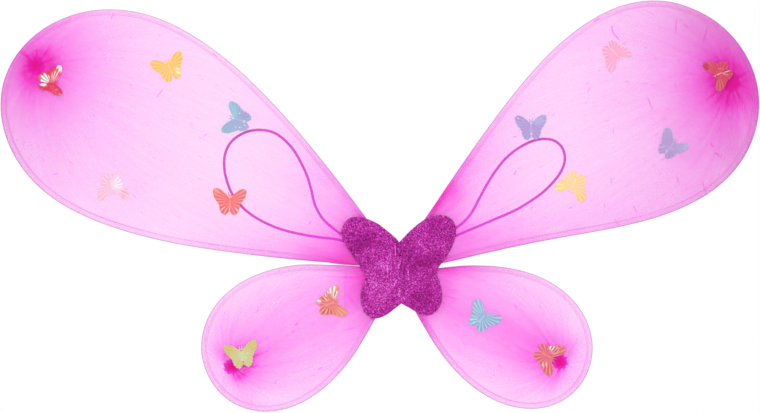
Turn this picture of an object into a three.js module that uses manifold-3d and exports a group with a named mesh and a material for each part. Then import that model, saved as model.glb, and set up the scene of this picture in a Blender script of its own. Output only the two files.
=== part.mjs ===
// Fairy wings: four wire loops in sheer sleeves, bound together at the centre
// between two butterfly-shaped glitter patches, with two elastic shoulder
// loops, gathered knots near the wing tips and butterfly sequins.
//
// Millimetres. +X is to the right as seen from the decorated face, +Z is up,
// and -Y is the decorated face. The wearer is on the +Y side. The origin is
// the centre of the back patch's flat rear face, which rests on the wearer.

import * as THREE from 'three';
import * as BufferGeometryUtils from 'three/addons/utils/BufferGeometryUtils.js';
import Module from 'manifold-3d';

const wasm = await Module();
wasm.setup();

// ---------------------------------------------------------------- dimensions
const GAP = 0.3;              // between pieces that touch
const HINGE_X = { upper: 55.0, lower: 39.3 };  // each wing bends on a vertical line just outside its patch lobe
const WIRE_R = 2.0;           // plastic-coated frame wire, 4 mm
const WIRE_Y = -6.7;          // mid-plane of the four loops
const SLEEVE_HALF = 1.9;      // half thickness of the sleeve panel solid
const PATCH_T = 1.5;          // glitter fabric on foam
const BACK_PATCH_Y = 0.0;     // rear face of the back patch
const FRONT_PATCH_Y = -10.1;  // inner face of the front patch
const CORD_R = 1.2;           // elastic cord of the shoulder loops
const CORD_Y = -3.1;          // it lies between the back patch and the wires
const SEQUIN_T = 0.6;
const SEQUIN_Y = -8.9;        // rear face of each sequin
const KNOT_R = 4.0;
const TIE_W = 2.4;
const NECK_FROM = 17.0;       // the sleeve necks start outside the root ties
const TIE_OUT = 4.0;          // root ties sit this far outside the binding's corners

// ------------------------------------------------ wire loops, centre lines
// [x, z] from the upper crossing of the bend line, round the tip, and back.
const LOOP_UPPER_LEFT = [
  [-55.25, 78.95], [-59.6, 84.6], [-72.8, 101.3], [-86.3, 117.8],
  [-100.2, 133.9], [-114.5, 149.6], [-129.3, 164.9], [-144.7, 179.6], [-161.0, 193.3],
  [-178.2, 205.8], [-196.2, 217.0], [-215.5, 226.1], [-235.8, 232.4], [-256.8, 235.0],
  [-278.1, 233.9], [-298.6, 228.6], [-317.6, 219.2], [-334.1, 205.8], [-347.0, 188.9],
  [-354.9, 169.3], [-357.0, 148.2], [-353.5, 127.2], [-345.5, 107.6], [-333.6, 90.0],
  [-318.6, 75.0], [-301.2, 62.7], [-282.4, 52.9], [-262.6, 44.9], [-242.4, 38.4],
  [-221.8, 33.0], [-201.0, 28.5], [-180.1, 24.9], [-159.0, 21.8], [-137.9, 19.0],
  [-116.8, 16.5], [-95.6, 14.3], [-74.4, 12.4], [-65.0, 11.6], [-55.3, 10.86]];
const LOOP_UPPER_RIGHT = [
  [55.2, 93.2], [57.3, 96.2], [69.2, 113.2], [81.3, 129.9],
  [93.6, 146.6], [106.4, 162.9], [119.7, 178.7], [133.8, 193.9], [148.9, 207.9],
  [165.2, 220.6], [182.9, 231.3], [202.1, 239.1], [222.4, 242.9], [243.0, 241.9],
  [262.7, 235.9], [280.8, 225.9], [296.2, 212.2], [308.4, 195.5], [316.7, 176.6],
  [320.2, 156.3], [318.7, 135.7], [312.5, 116.0], [302.1, 98.2], [288.2, 82.9],
  [271.7, 70.5], [253.4, 60.8], [234.1, 53.4], [214.2, 47.6], [194.1, 43.0],
  [173.7, 39.1], [153.4, 35.5], [133.0, 31.8], [112.7, 27.8], [92.5, 23.5],
  [72.3, 18.9], [63.8, 16.85], [55.3, 14.84]];
const LOOP_LOWER_LEFT = [
  [-39.6, 3.3], [-46.3, 3.7], [-60.4, 4.8], [-74.6, 5.5], [-88.8, 5.4], [-102.9, 3.7],
  [-116.7, 0.5], [-130.0, -4.3], [-142.7, -10.7], [-154.0, -19.2], [-163.8, -29.5],
  [-171.1, -41.6], [-175.5, -55.0], [-176.8, -69.1], [-174.2, -83.0], [-168.4, -96.0],
  [-159.7, -107.1], [-148.4, -115.6], [-135.2, -120.8], [-121.2, -122.6], [-107.1, -121.1],
  [-93.6, -116.8], [-81.1, -110.1], [-69.6, -101.8], [-59.3, -92.1], [-50.0, -81.4],
  [-41.6, -70.0], [-39.5, -66.6]];
const LOOP_LOWER_RIGHT = [
  [39.6, 2.85], [45.4, 3.5], [58.9, 4.6], [72.4, 4.6], [85.8, 3.9], [99.2, 2.1],
  [112.3, -1.0], [125.0, -5.5], [137.0, -11.7], [147.9, -19.7], [157.2, -29.4],
  [164.5, -40.7], [169.3, -53.3], [171.2, -66.6], [169.7, -80.0], [165.0, -92.6],
  [157.3, -103.6], [146.9, -112.2], [134.7, -117.7], [121.4, -120.0], [107.9, -119.3],
  [94.8, -116.2], [82.5, -110.8], [71.0, -103.7], [60.4, -95.3], [50.8, -85.9],
  [42.0, -75.6], [39.5, -72.25]];

// The stems of each loop run on inside the bend line and turn round in the
// centre binding.
const STEM_UPPER_LEFT = [
  [-54.75, 78.3], [-46.7, 67.7], [-36.4, 54.0], [-24.0, 37.3], [-16.0, 26.4], [-9.0, 16.9],
  [-5.0, 12.0], [-4.4, 9.6], [-7.0, 8.2], [-14.0, 8.4], [-23.0, 8.9], [-32.0, 9.4],
  [-43.0, 10.1], [-54.7, 10.82]];
const STEM_UPPER_RIGHT = [
  [54.8, 92.6], [45.6, 79.2], [35.6, 64.4], [24.0, 47.3], [16.0, 35.5], [9.0, 25.1],
  [4.9, 17.4], [4.4, 12.6], [7.0, 9.2], [14.0, 8.9], [23.0, 9.2], [32.0, 9.9],
  [43.0, 12.0], [54.7, 14.7]];
const STEM_LOWER_LEFT = [
  [-39.0, 3.27], [-32.0, 2.8], [-23.0, 1.6], [-14.0, -0.4], [-7.2, -2.0], [-4.4, -4.8],
  [-5.0, -8.6], [-9.0, -14.2], [-16.0, -26.6], [-24.0, -40.0], [-31.8, -53.8], [-39.1, -65.9]];
const STEM_LOWER_RIGHT = [
  [39.0, 2.78], [32.0, 2.0], [23.0, 1.2], [14.0, -0.6], [7.2, -2.0], [4.4, -4.8],
  [5.0, -10.0], [9.0, -21.5], [16.0, -34.4], [24.0, -48.2], [31.8, -61.25], [39.1, -71.75]];

// ------------------------------------------------------------ butterfly patch
const PATCH_OUTLINE = [
  [-52.9, 37.7], [-51.6, 42.0], [-48.6, 46.8], [-43.8, 49.9], [-38.4, 50.6], [-31.5, 49.3],
  [-20.3, 44.6], [-10.0, 36.8], [-4.0, 31.7], [-0.7, 27.7], [3.0, 31.7], [10.7, 39.4],
  [19.3, 46.3], [25.3, 49.7], [30.5, 51.6], [35.6, 52.3], [42.6, 51.0], [48.6, 45.5],
  [50.4, 37.7], [48.6, 28.2], [43.4, 17.0], [36.5, 7.6], [32.8, 0.8], [35.6, -8.0],
  [37.8, -18.3], [37.0, -26.9], [32.2, -34.7], [24.5, -38.2], [15.8, -35.6], [8.1, -31.2],
  [1.2, -27.4], [-4.9, -32.1], [-11.7, -37.3], [-20.3, -40.7], [-26.4, -40.3], [-32.4, -34.7],
  [-35.4, -24.3], [-35.0, -15.8], [-32.0, -8.0], [-30.9, -2.0], [-35.8, 5.8], [-41.9, 14.4],
  [-48.8, 24.8], [-52.2, 31.7]];

// ------------------------------------------------------------- shoulder loops
// [x, z] from the inner end of the cord, round the loop, to its other end.
const STRAP_LEFT = [
  [-21.5, 27.4], [-29.0, 28.0], [-37.0, 28.9], [-45.0, 31.2], [-52.8, 34.8], [-60.6, 40.5],
  [-69.8, 49.1], [-76.7, 61.7], [-80.1, 75.5], [-83.6, 87.0], [-88.2, 97.4], [-96.2, 111.2],
  [-106.6, 122.0], [-115.7, 127.2], [-127.2, 128.9], [-137.5, 127.4], [-147.9, 122.0],
  [-154.7, 114.6], [-158.2, 104.2], [-158.2, 92.7], [-155.9, 82.4], [-151.8, 72.1],
  [-143.3, 60.6], [-134.1, 52.6], [-120.3, 44.6], [-105.4, 38.8], [-88.2, 34.7],
  [-71.0, 31.9], [-59.0, 30.6], [-50.0, 28.4], [-41.0, 25.6], [-31.0, 22.6], [-22.5, 20.4]];
const STRAP_RIGHT = [
  [21.5, 29.4], [29.0, 31.0], [37.0, 33.6], [44.5, 37.0], [50.5, 40.7], [57.4, 45.9],
  [64.3, 53.9], [71.2, 66.5], [78.0, 79.1], [86.1, 91.8], [95.3, 103.2], [106.7, 112.4],
  [119.4, 118.8], [129.7, 120.8], [138.9, 119.3], [145.8, 113.6], [148.7, 104.4],
  [147.0, 95.2], [141.2, 85.5], [129.7, 73.4], [117.1, 64.3], [103.3, 56.2],
  [86.1, 48.7], [68.9, 41.3], [59.0, 37.2], [50.9, 33.6], [42.0, 29.8], [32.0, 25.6], [22.5, 22.2]];

// --------------------------------------------------------------- tip knots
const KNOTS = {
  upper_left: [-327.6, 186.3], upper_right: [297.9, 171.9],
  lower_left: [-151.6, -84.2], lower_right: [144.0, -80.1] };

// ------------------------------------------------------------------ sequins
// Half outline of a sequin, [x, z], head up, from the head to the tail.
const SEQUIN_HALF = [
  [0.0, 4.6], [1.6, 4.9], [4.0, 6.9], [7.6, 9.7], [11.2, 11.1], [13.9, 10.9], [15.0, 9.0],
  [14.6, 5.4], [12.6, 1.4], [10.2, -1.6], [9.2, -4.0], [8.9, -6.6], [7.4, -9.6], [5.4, -11.5],
  [3.2, -11.6], [1.5, -10.0], [0.0, -8.0]];
// x, z of the middle, direction of the head in degrees from +X, colour.
const SEQUINS = {
  upper_left: [
    [-314.3, 171.5, 0.5, 0xe8486a], [-207.3, 184.6, 110.2, 0xfcc35c], [-146.3, 138.2, 163.5, 0x93b2d0],
    [-153.1, 64.4, 88.2, 0xfa6e68], [-259.1, 78.1, 277.6, 0xffc9dd]],
  upper_right: [
    [193.5, 197.5, 310.2, 0xffa9cb], [288.1, 179.1, 210.6, 0xcc4a50], [244.0, 114.0, 48.8, 0xab8fce],
    [118.0, 131.2, 91.8, 0xb09bd8], [156.0, 79.5, 244.8, 0xffd97c]],
  lower_left: [
    [-62.3, -27.4, 19.2, 0xee8466], [-142.3, -73.6, 100.3, 0xd2d37c]],
  lower_right: [
    [74.1, -40.4, 51.5, 0x9fc9dd], [133.0, -74.7, 329.3, 0xe5716c]] };

// ------------------------------------------------------------------ materials
const mat = (color, roughness, metalness = 0) =>
  new THREE.MeshStandardMaterial({ color, roughness, metalness });
const coatedWire = () => mat(0xf4e9f1, 0.4);
const sheer = () => mat(0xff8fea, 0.6);
const gathered = () => mat(0xf0148c, 0.7);
const glitter = () => mat(0xa5288f, 0.35, 0.3);
const elastic = () => mat(0xec6fc4, 0.8);
const thread = () => mat(0xd8127e, 0.8);
const tape = () => mat(0xe9e2e6, 0.6);

// -------------------------------------------------------------------- helpers
const root = new THREE.Group();
const add = (name, geometry, material) => {
  const mesh = new THREE.Mesh(geometry, material);
  mesh.name = name;
  root.add(mesh);
  return mesh;
};
const at = (y) => ([x, z]) => new THREE.Vector3(x, y, z);

const section = (radius, sides) => {
  const shape = new THREE.Shape();
  const r = radius / Math.cos(Math.PI / sides) ** 0.5;
  for (let i = 0; i < sides; i++) {
    const a = (2 * Math.PI * (i + 0.5)) / sides;
    if (i) shape.lineTo(r * Math.cos(a), r * Math.sin(a));
    else shape.moveTo(r * Math.cos(a), r * Math.sin(a));
  }
  shape.closePath();
  return shape;
};
// A round bar along a smooth line through the given points.
const bar = (points, y, radius, steps, sides = 8) =>
  new THREE.ExtrudeGeometry(section(radius, sides), {
    steps, bevelEnabled: false,
    extrudePath: new THREE.CatmullRomCurve3(points.map(at(y)), false, 'centripetal') });
// A flat plate of the given [x, z] outline, from y0 (front) to y1 (back).
const plate = (outline, y0, y1, holes = []) => {
  const shape = new THREE.Shape(outline.map(([x, z]) => new THREE.Vector2(x, z)));
  for (const h of holes) shape.holes.push(new THREE.Path(h.map(([x, z]) => new THREE.Vector2(x, z))));
  const g = new THREE.ExtrudeGeometry(shape, { depth: y1 - y0, steps: 1, bevelEnabled: false });
  g.rotateX(Math.PI / 2);
  g.translate(0, y1, 0);
  return g;
};
// An open line moved sideways by d, towards the given point's side.
const shifted = (line, d, [cx, cz]) => line.map((p, i) => {
  const a = line[Math.max(i - 1, 0)], b = line[Math.min(i + 1, line.length - 1)];
  let nx = -(b[1] - a[1]), nz = b[0] - a[0];
  const l = Math.hypot(nx, nz);
  nx /= l; nz /= l;
  if ((cx - p[0]) * nx + (cz - p[1]) * nz < 0) { nx = -nx; nz = -nz; }
  return [p[0] + nx * d, p[1] + nz * d];
});
const roundedBar = (length, width, r, arc = 4) => {
  const out = [];
  for (const [sx, sy, from] of [[1, -1, -0.5], [1, 1, 0], [-1, 1, 0.5], [-1, -1, 1]]) {
    for (let i = 0; i <= arc; i++) {
      const a = Math.PI * (from + (0.5 * i) / arc);
      out.push(new THREE.Vector2(
        sx * (length / 2 - r) + r * Math.cos(a), sy * (width / 2 - r) + r * Math.sin(a)));
    }
  }
  return out;
};
const toManifold = (geometry) => {
  let g = geometry.clone();
  g.deleteAttribute('normal');
  g.deleteAttribute('uv');
  g = BufferGeometryUtils.mergeVertices(g, 1e-4);
  return new wasm.Manifold(new wasm.Mesh({
    numProp: 3,
    vertProperties: new Float32Array(g.attributes.position.array),
    triVerts: new Uint32Array(g.index.array) }));
};
const fromManifold = (solid) => {
  const m = solid.getMesh();
  const g = new THREE.BufferGeometry();
  g.setAttribute('position', new THREE.BufferAttribute(new Float32Array(m.vertProperties), 3));
  g.setIndex(new THREE.BufferAttribute(new Uint32Array(m.triVerts), 1));
  g.computeVertexNormals();
  return g;
};

// ---------------------------------------------------------------------- wings
const WINGS = {
  upper_left: { loop: LOOP_UPPER_LEFT, stem: STEM_UPPER_LEFT, steps: 56, mid: [-200, 130] },
  upper_right: { loop: LOOP_UPPER_RIGHT, stem: STEM_UPPER_RIGHT, steps: 54, mid: [190, 140] },
  lower_left: { loop: LOOP_LOWER_LEFT, stem: STEM_LOWER_LEFT, steps: 38, mid: [-105, -60] },
  lower_right: { loop: LOOP_LOWER_RIGHT, stem: STEM_LOWER_RIGHT, steps: 38, mid: [103, -58] },
};

const stems = [];
for (const [wing, w] of Object.entries(WINGS)) {
  add(`frame_wire_${wing}`, bar(w.loop, WIRE_Y, WIRE_R, w.steps), coatedWire());

  add(`stem_wire_${wing}`, bar(w.stem, WIRE_Y, WIRE_R, 24), coatedWire());
  stems.push(bar(w.stem, WIRE_Y, WIRE_R + GAP, 24, 12));

  // The sleeve is stretched across the loop, with its edge on the wire, and
  // its neck runs on between the stems to the root tie.
  const side = Math.sign(w.mid[0]);
  const bend = HINGE_X[wing.split('_')[0]];
  const inner = (line) => shifted(line, WIRE_R + GAP + 0.1, w.mid);
  const upto = (a, b, x) => [x, a[1] + ((x - a[0]) * (b[1] - a[1])) / (b[0] - a[0])];
  const panel = inner(w.loop).filter(([x]) => x * side > bend + 1.5);
  const open = side * (bend + 0.35);
  add(`sleeve_${wing}`, plate([
    ...panel, upto(panel[panel.length - 1], panel[panel.length - 2], open), upto(panel[0], panel[1], open),
  ], WIRE_Y - SLEEVE_HALF, WIRE_Y + SLEEVE_HALF), sheer());

  const turn = w.stem.findIndex(([x]) => x * side < 5.2);
  const strands = [w.stem.slice(0, turn - 1), w.stem.slice(turn + 1)]
    .map((line) => shifted(line, WIRE_R + GAP + 0.5, [side * 45, (w.stem[0][1] + w.stem[w.stem.length - 1][1]) / 2])
      .filter(([x]) => x * side > NECK_FROM && x * side < bend - 1.5));
  const [p, q] = strands;
  add(`sleeve_neck_${wing}`, plate([
    upto(p[0], p[1], side * (bend - 0.35)), ...p, ...q,
    upto(q[q.length - 1], q[q.length - 2], side * (bend - 0.35)),
  ], WIRE_Y - SLEEVE_HALF, WIRE_Y + SLEEVE_HALF), gathered());
}

// Thread that draws each sleeve together round its two stems, a flat ring
// square to the line that halves the angle between them.
for (const [wing, { stem }] of Object.entries(WINGS)) {
  const p = stem.map(at(WIRE_Y));
  const turn = stem.findIndex(([x]) => Math.abs(x) < 5.2);
  const i = turn - 1, j = turn + (stem.length === 14 ? 2 : 3);
  const one = p[i - 2].clone().sub(p[i]).normalize();
  const two = p[j + 2].clone().sub(p[j]).normalize();
  const along = one.clone().add(two).normalize();
  const half = Math.acos(along.dot(one));
  const from = p[i].clone().add(p[j]).multiplyScalar(0.5).addScaledVector(along, TIE_OUT);
  const cross = (q, d) => q.clone().addScaledVector(d, from.clone().sub(q).dot(along) / d.dot(along));
  const a = cross(p[i], one), b = cross(p[j], two);
  const inner = a.distanceTo(b)
    + 2 * (WIRE_R / Math.cos(half) + (TIE_W / 2) * Math.tan(half) + GAP);
  const shape = new THREE.Shape(roundedBar(inner + 1.6, 6.2, 2.0));
  shape.holes.push(new THREE.Path(roundedBar(inner, 4.7, 1.0)));
  const ring = new THREE.ExtrudeGeometry(shape, { depth: TIE_W, steps: 1, bevelEnabled: false });
  ring.translate(0, 0, -TIE_W / 2);
  const up = new THREE.Vector3(0, 1, 0);
  const middle = a.clone().add(b).multiplyScalar(0.5);
  ring.applyMatrix4(new THREE.Matrix4()
    .makeBasis(new THREE.Vector3().crossVectors(up, along), up, along).setPosition(middle));
  add(`root_tie_${wing}`, ring, thread());
}

// --------------------------------------------------------------------- centre
// The turns of the four loops are held in one taped binding.
const BINDING = [];
for (let i = 0; i < 28; i++) {
  const a = (2 * Math.PI * i) / 28;
  const c = Math.cos(a), s = Math.sin(a);
  BINDING.push([7.2 * Math.sign(c) * Math.abs(c) ** 0.5, 3.0 + 13.0 * Math.sign(s) * Math.abs(s) ** 0.5]);
}
let binding = toManifold(plate(BINDING, -9.75, -4.0));
for (const s of stems) binding = binding.subtract(toManifold(s));
add('centre_binding', fromManifold(binding), tape());

add('front_patch', plate(PATCH_OUTLINE, FRONT_PATCH_Y - PATCH_T, FRONT_PATCH_Y), glitter());
add('back_patch', plate(PATCH_OUTLINE, BACK_PATCH_Y - PATCH_T, BACK_PATCH_Y), glitter());

// ------------------------------------------------------------- shoulder loops
add('shoulder_loop_left', bar(STRAP_LEFT, CORD_Y, CORD_R, 76), elastic());
add('shoulder_loop_right', bar(STRAP_RIGHT, CORD_Y, CORD_R, 72), elastic());
// Each end of a cord is knotted under the patch.
const END_KNOT = [[0, -1.15], [1.6, -1.0], [2.5, -0.5], [2.5, 0.5], [1.6, 1.0], [0, 1.15]]
  .map(([r, y]) => new THREE.Vector2(r, y));
const END_KNOTS = {
  cord_knot_left_upper: [-18.7, 27.2], cord_knot_left_lower: [-19.8, 19.4],
  cord_knot_right_upper: [18.7, 28.8], cord_knot_right_lower: [19.8, 21.2] };
for (const [name, [x, z]] of Object.entries(END_KNOTS)) {
  const knot = add(name, new THREE.LatheGeometry(END_KNOT, 12), elastic());
  knot.position.set(x, CORD_Y, z);
}

// ------------------------------------------------------------------ tip knots
// The closed end of each sleeve is gathered behind the wing and tied off.
const KNOT_PROFILE = [[0, -4.5], [2.2, -4.5], [2.2, -3.2], [3.6, -2.9], [KNOT_R, -2.0], [3.0, -1.2], [0, -1.0]]
  .map(([r, y]) => new THREE.Vector2(r, y));
const TIE_PROFILE = [[2.5, -4.3], [3.5, -4.3], [3.5, -3.4], [2.5, -3.4], [2.5, -4.3]]
  .map(([r, y]) => new THREE.Vector2(r, y));
for (const [wing, [x, z]] of Object.entries(KNOTS)) {
  const knot = add(`tip_knot_${wing}`, new THREE.LatheGeometry(KNOT_PROFILE, 14), gathered());
  knot.position.set(x, 0, z);
  const tie = add(`tip_tie_${wing}`, new THREE.LatheGeometry(TIE_PROFILE, 14), thread());
  tie.position.set(x, 0, z);
}

// -------------------------------------------------------------------- sequins
const SEQUIN_OUTLINE = [
  ...SEQUIN_HALF,
  ...SEQUIN_HALF.slice(1, -1).reverse().map(([x, z]) => [-x, z])];
for (const [wing, list] of Object.entries(SEQUINS)) {
  list.forEach(([x, z, head, color], i) => {
    const sequin = add(`sequin_${wing}_${i + 1}`, plate(SEQUIN_OUTLINE, -SEQUIN_T, 0), mat(color, 0.25, 0.2));
    sequin.rotation.y = -THREE.MathUtils.degToRad(head - 90);
    sequin.position.set(x, SEQUIN_Y, z);
  });
}

export default root;
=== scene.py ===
# Fairy wings: sheer nylon sleeves stretched over wire loops, glitter patches,
# elastic shoulder loops, gathered tips and embossed butterfly sequins.
import math
import random

import bpy
import numpy as np
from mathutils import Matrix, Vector
from mathutils.geometry import delaunay_2d_cdt


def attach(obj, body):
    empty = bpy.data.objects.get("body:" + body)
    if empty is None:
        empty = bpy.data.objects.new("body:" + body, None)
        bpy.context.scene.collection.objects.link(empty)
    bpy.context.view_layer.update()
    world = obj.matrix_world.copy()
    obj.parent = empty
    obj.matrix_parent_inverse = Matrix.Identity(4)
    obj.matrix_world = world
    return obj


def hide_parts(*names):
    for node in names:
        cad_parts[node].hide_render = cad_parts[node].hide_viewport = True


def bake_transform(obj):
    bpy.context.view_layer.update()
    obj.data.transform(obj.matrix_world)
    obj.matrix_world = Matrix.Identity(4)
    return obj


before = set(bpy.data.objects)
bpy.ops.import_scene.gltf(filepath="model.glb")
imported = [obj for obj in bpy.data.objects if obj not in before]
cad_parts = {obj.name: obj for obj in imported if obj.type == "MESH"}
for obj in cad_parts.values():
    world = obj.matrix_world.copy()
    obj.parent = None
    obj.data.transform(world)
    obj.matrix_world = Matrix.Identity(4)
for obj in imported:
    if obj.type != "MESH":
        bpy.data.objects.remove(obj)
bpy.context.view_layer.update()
MM = 0.001
scene = bpy.context.scene
scene.view_settings.view_transform = "Standard"
scene.view_settings.look = "None"
rng = np.random.default_rng(7)
random.seed(7)

# ------------------------------------------------------------------- camera
WIRE_Y = -6.7
cam_data = bpy.data.cameras.new("camera")
cam_data.lens = 200.0
cam_data.sensor_width = 36.0
cam_data.clip_start = 0.1
cam_data.clip_end = 50.0
cam = bpy.data.objects.new("camera", cam_data)
cam.location = (-0.018, WIRE_Y * MM - 3.8, 0.05985)
cam.rotation_euler = (math.radians(90), 0, 0)
scene.collection.objects.link(cam)
scene.camera = cam

# ------------------------------------------------------- outlines, in mm
LOOP = {
    "upper_left": [
        [-55.25, 78.95], [-59.6, 84.6], [-72.8, 101.3], [-86.3, 117.8],
        [-100.2, 133.9], [-114.5, 149.6], [-129.3, 164.9], [-144.7, 179.6], [-161.0, 193.3],
        [-178.2, 205.8], [-196.2, 217.0], [-215.5, 226.1], [-235.8, 232.4], [-256.8, 235.0],
        [-278.1, 233.9], [-298.6, 228.6], [-317.6, 219.2], [-334.1, 205.8], [-347.0, 188.9],
        [-354.9, 169.3], [-357.0, 148.2], [-353.5, 127.2], [-345.5, 107.6], [-333.6, 90.0],
        [-318.6, 75.0], [-301.2, 62.7], [-282.4, 52.9], [-262.6, 44.9], [-242.4, 38.4],
        [-221.8, 33.0], [-201.0, 28.5], [-180.1, 24.9], [-159.0, 21.8], [-137.9, 19.0],
        [-116.8, 16.5], [-95.6, 14.3], [-74.4, 12.4], [-65.0, 11.6], [-55.3, 10.86]],
    "upper_right": [
        [55.2, 93.2], [57.3, 96.2], [69.2, 113.2], [81.3, 129.9],
        [93.6, 146.6], [106.4, 162.9], [119.7, 178.7], [133.8, 193.9], [148.9, 207.9],
        [165.2, 220.6], [182.9, 231.3], [202.1, 239.1], [222.4, 242.9], [243.0, 241.9],
        [262.7, 235.9], [280.8, 225.9], [296.2, 212.2], [308.4, 195.5], [316.7, 176.6],
        [320.2, 156.3], [318.7, 135.7], [312.5, 116.0], [302.1, 98.2], [288.2, 82.9],
        [271.7, 70.5], [253.4, 60.8], [234.1, 53.4], [214.2, 47.6], [194.1, 43.0],
        [173.7, 39.1], [153.4, 35.5], [133.0, 31.8], [112.7, 27.8], [92.5, 23.5],
        [72.3, 18.9], [63.8, 16.85], [55.3, 14.84]],
    "lower_left": [
        [-39.6, 3.3], [-46.3, 3.7], [-60.4, 4.8], [-74.6, 5.5], [-88.8, 5.4], [-102.9, 3.7],
        [-116.7, 0.5], [-130.0, -4.3], [-142.7, -10.7], [-154.0, -19.2], [-163.8, -29.5],
        [-171.1, -41.6], [-175.5, -55.0], [-176.8, -69.1], [-174.2, -83.0], [-168.4, -96.0],
        [-159.7, -107.1], [-148.4, -115.6], [-135.2, -120.8], [-121.2, -122.6], [-107.1, -121.1],
        [-93.6, -116.8], [-81.1, -110.1], [-69.6, -101.8], [-59.3, -92.1], [-50.0, -81.4],
        [-41.6, -70.0], [-39.5, -66.6]],
    "lower_right": [
        [39.6, 2.85], [45.4, 3.5], [58.9, 4.6], [72.4, 4.6], [85.8, 3.9], [99.2, 2.1],
        [112.3, -1.0], [125.0, -5.5], [137.0, -11.7], [147.9, -19.7], [157.2, -29.4],
        [164.5, -40.7], [169.3, -53.3], [171.2, -66.6], [169.7, -80.0], [165.0, -92.6],
        [157.3, -103.6], [146.9, -112.2], [134.7, -117.7], [121.4, -120.0], [107.9, -119.3],
        [94.8, -116.2], [82.5, -110.8], [71.0, -103.7], [60.4, -95.3], [50.8, -85.9],
        [42.0, -75.6], [39.5, -72.25]]}
STEM = {
    "upper_left": [
        [-54.75, 78.3], [-46.7, 67.7], [-36.4, 54.0], [-24.0, 37.3], [-16.0, 26.4], [-9.0, 16.9],
        [-5.0, 12.0], [-4.4, 9.6], [-7.0, 8.2], [-14.0, 8.4], [-23.0, 8.9], [-32.0, 9.4],
        [-43.0, 10.1], [-54.7, 10.82]],
    "upper_right": [
        [54.8, 92.6], [45.6, 79.2], [35.6, 64.4], [24.0, 47.3], [16.0, 35.5], [9.0, 25.1],
        [4.9, 17.4], [4.4, 12.6], [7.0, 9.2], [14.0, 8.9], [23.0, 9.2], [32.0, 9.9],
        [43.0, 12.0], [54.7, 14.7]],
    "lower_left": [
        [-39.0, 3.27], [-32.0, 2.8], [-23.0, 1.6], [-14.0, -0.4], [-7.2, -2.0], [-4.4, -4.8],
        [-5.0, -8.6], [-9.0, -14.2], [-16.0, -26.6], [-24.0, -40.0], [-31.8, -53.8], [-39.1, -65.9]],
    "lower_right": [
        [39.0, 2.78], [32.0, 2.0], [23.0, 1.2], [14.0, -0.6], [7.2, -2.0], [4.4, -4.8],
        [5.0, -10.0], [9.0, -21.5], [16.0, -34.4], [24.0, -48.2], [31.8, -61.25], [39.1, -71.75]]}
PATCH = [
    [-52.9, 37.7], [-51.6, 42.0], [-48.6, 46.8], [-43.8, 49.9], [-38.4, 50.6], [-31.5, 49.3],
    [-20.3, 44.6], [-10.0, 36.8], [-4.0, 31.7], [-0.7, 27.7], [3.0, 31.7], [10.7, 39.4],
    [19.3, 46.3], [25.3, 49.7], [30.5, 51.6], [35.6, 52.3], [42.6, 51.0], [48.6, 45.5],
    [50.4, 37.7], [48.6, 28.2], [43.4, 17.0], [36.5, 7.6], [32.8, 0.8], [35.6, -8.0],
    [37.8, -18.3], [37.0, -26.9], [32.2, -34.7], [24.5, -38.2], [15.8, -35.6], [8.1, -31.2],
    [1.2, -27.4], [-4.9, -32.1], [-11.7, -37.3], [-20.3, -40.7], [-26.4, -40.3], [-32.4, -34.7],
    [-35.4, -24.3], [-35.0, -15.8], [-32.0, -8.0], [-30.9, -2.0], [-35.8, 5.8], [-41.9, 14.4],
    [-48.8, 24.8], [-52.2, 31.7]]
PATCH_CORNERS = [[-0.7, 27.7], [1.2, -27.4]]
STRAP = {
    "left": [
        [-21.5, 27.4], [-29.0, 28.0], [-37.0, 28.9], [-45.0, 31.2], [-52.8, 34.8], [-60.6, 40.5],
        [-69.8, 49.1], [-76.7, 61.7], [-80.1, 75.5], [-83.6, 87.0], [-88.2, 97.4], [-96.2, 111.2],
        [-106.6, 122.0], [-115.7, 127.2], [-127.2, 128.9], [-137.5, 127.4], [-147.9, 122.0],
        [-154.7, 114.6], [-158.2, 104.2], [-158.2, 92.7], [-155.9, 82.4], [-151.8, 72.1],
        [-143.3, 60.6], [-134.1, 52.6], [-120.3, 44.6], [-105.4, 38.8], [-88.2, 34.7],
        [-71.0, 31.9], [-59.0, 30.6], [-50.0, 28.4], [-41.0, 25.6], [-31.0, 22.6], [-22.5, 20.4]],
    "right": [
        [21.5, 29.4], [29.0, 31.0], [37.0, 33.6], [44.5, 37.0], [50.5, 40.7], [57.4, 45.9],
        [64.3, 53.9], [71.2, 66.5], [78.0, 79.1], [86.1, 91.8], [95.3, 103.2], [106.7, 112.4],
        [119.4, 118.8], [129.7, 120.8], [138.9, 119.3], [145.8, 113.6], [148.7, 104.4],
        [147.0, 95.2], [141.2, 85.5], [129.7, 73.4], [117.1, 64.3], [103.3, 56.2],
        [86.1, 48.7], [68.9, 41.3], [59.0, 37.2], [50.9, 33.6], [42.0, 29.8], [32.0, 25.6], [22.5, 22.2]]}
KNOTS = {
    "upper_left": (-327.6, 186.3), "upper_right": (297.9, 171.9),
    "lower_left": (-151.6, -84.2), "lower_right": (144.0, -80.1)}
ROOTS = {
    "upper_left": (-8.0, 12.0), "upper_right": (8.0, 14.0),
    "lower_left": (-8.0, -4.0), "lower_right": (8.0, -4.0)}
HINGE = {"upper_left": -55.0, "upper_right": 55.0, "lower_left": -39.3, "lower_right": 39.3}
MID = {"upper_left": (-200, 130), "upper_right": (190, 140), "lower_left": (-105, -60), "lower_right": (103, -58)}
WINGS = ["upper_left", "upper_right", "lower_left", "lower_right"]
BEND = 8.0


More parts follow.
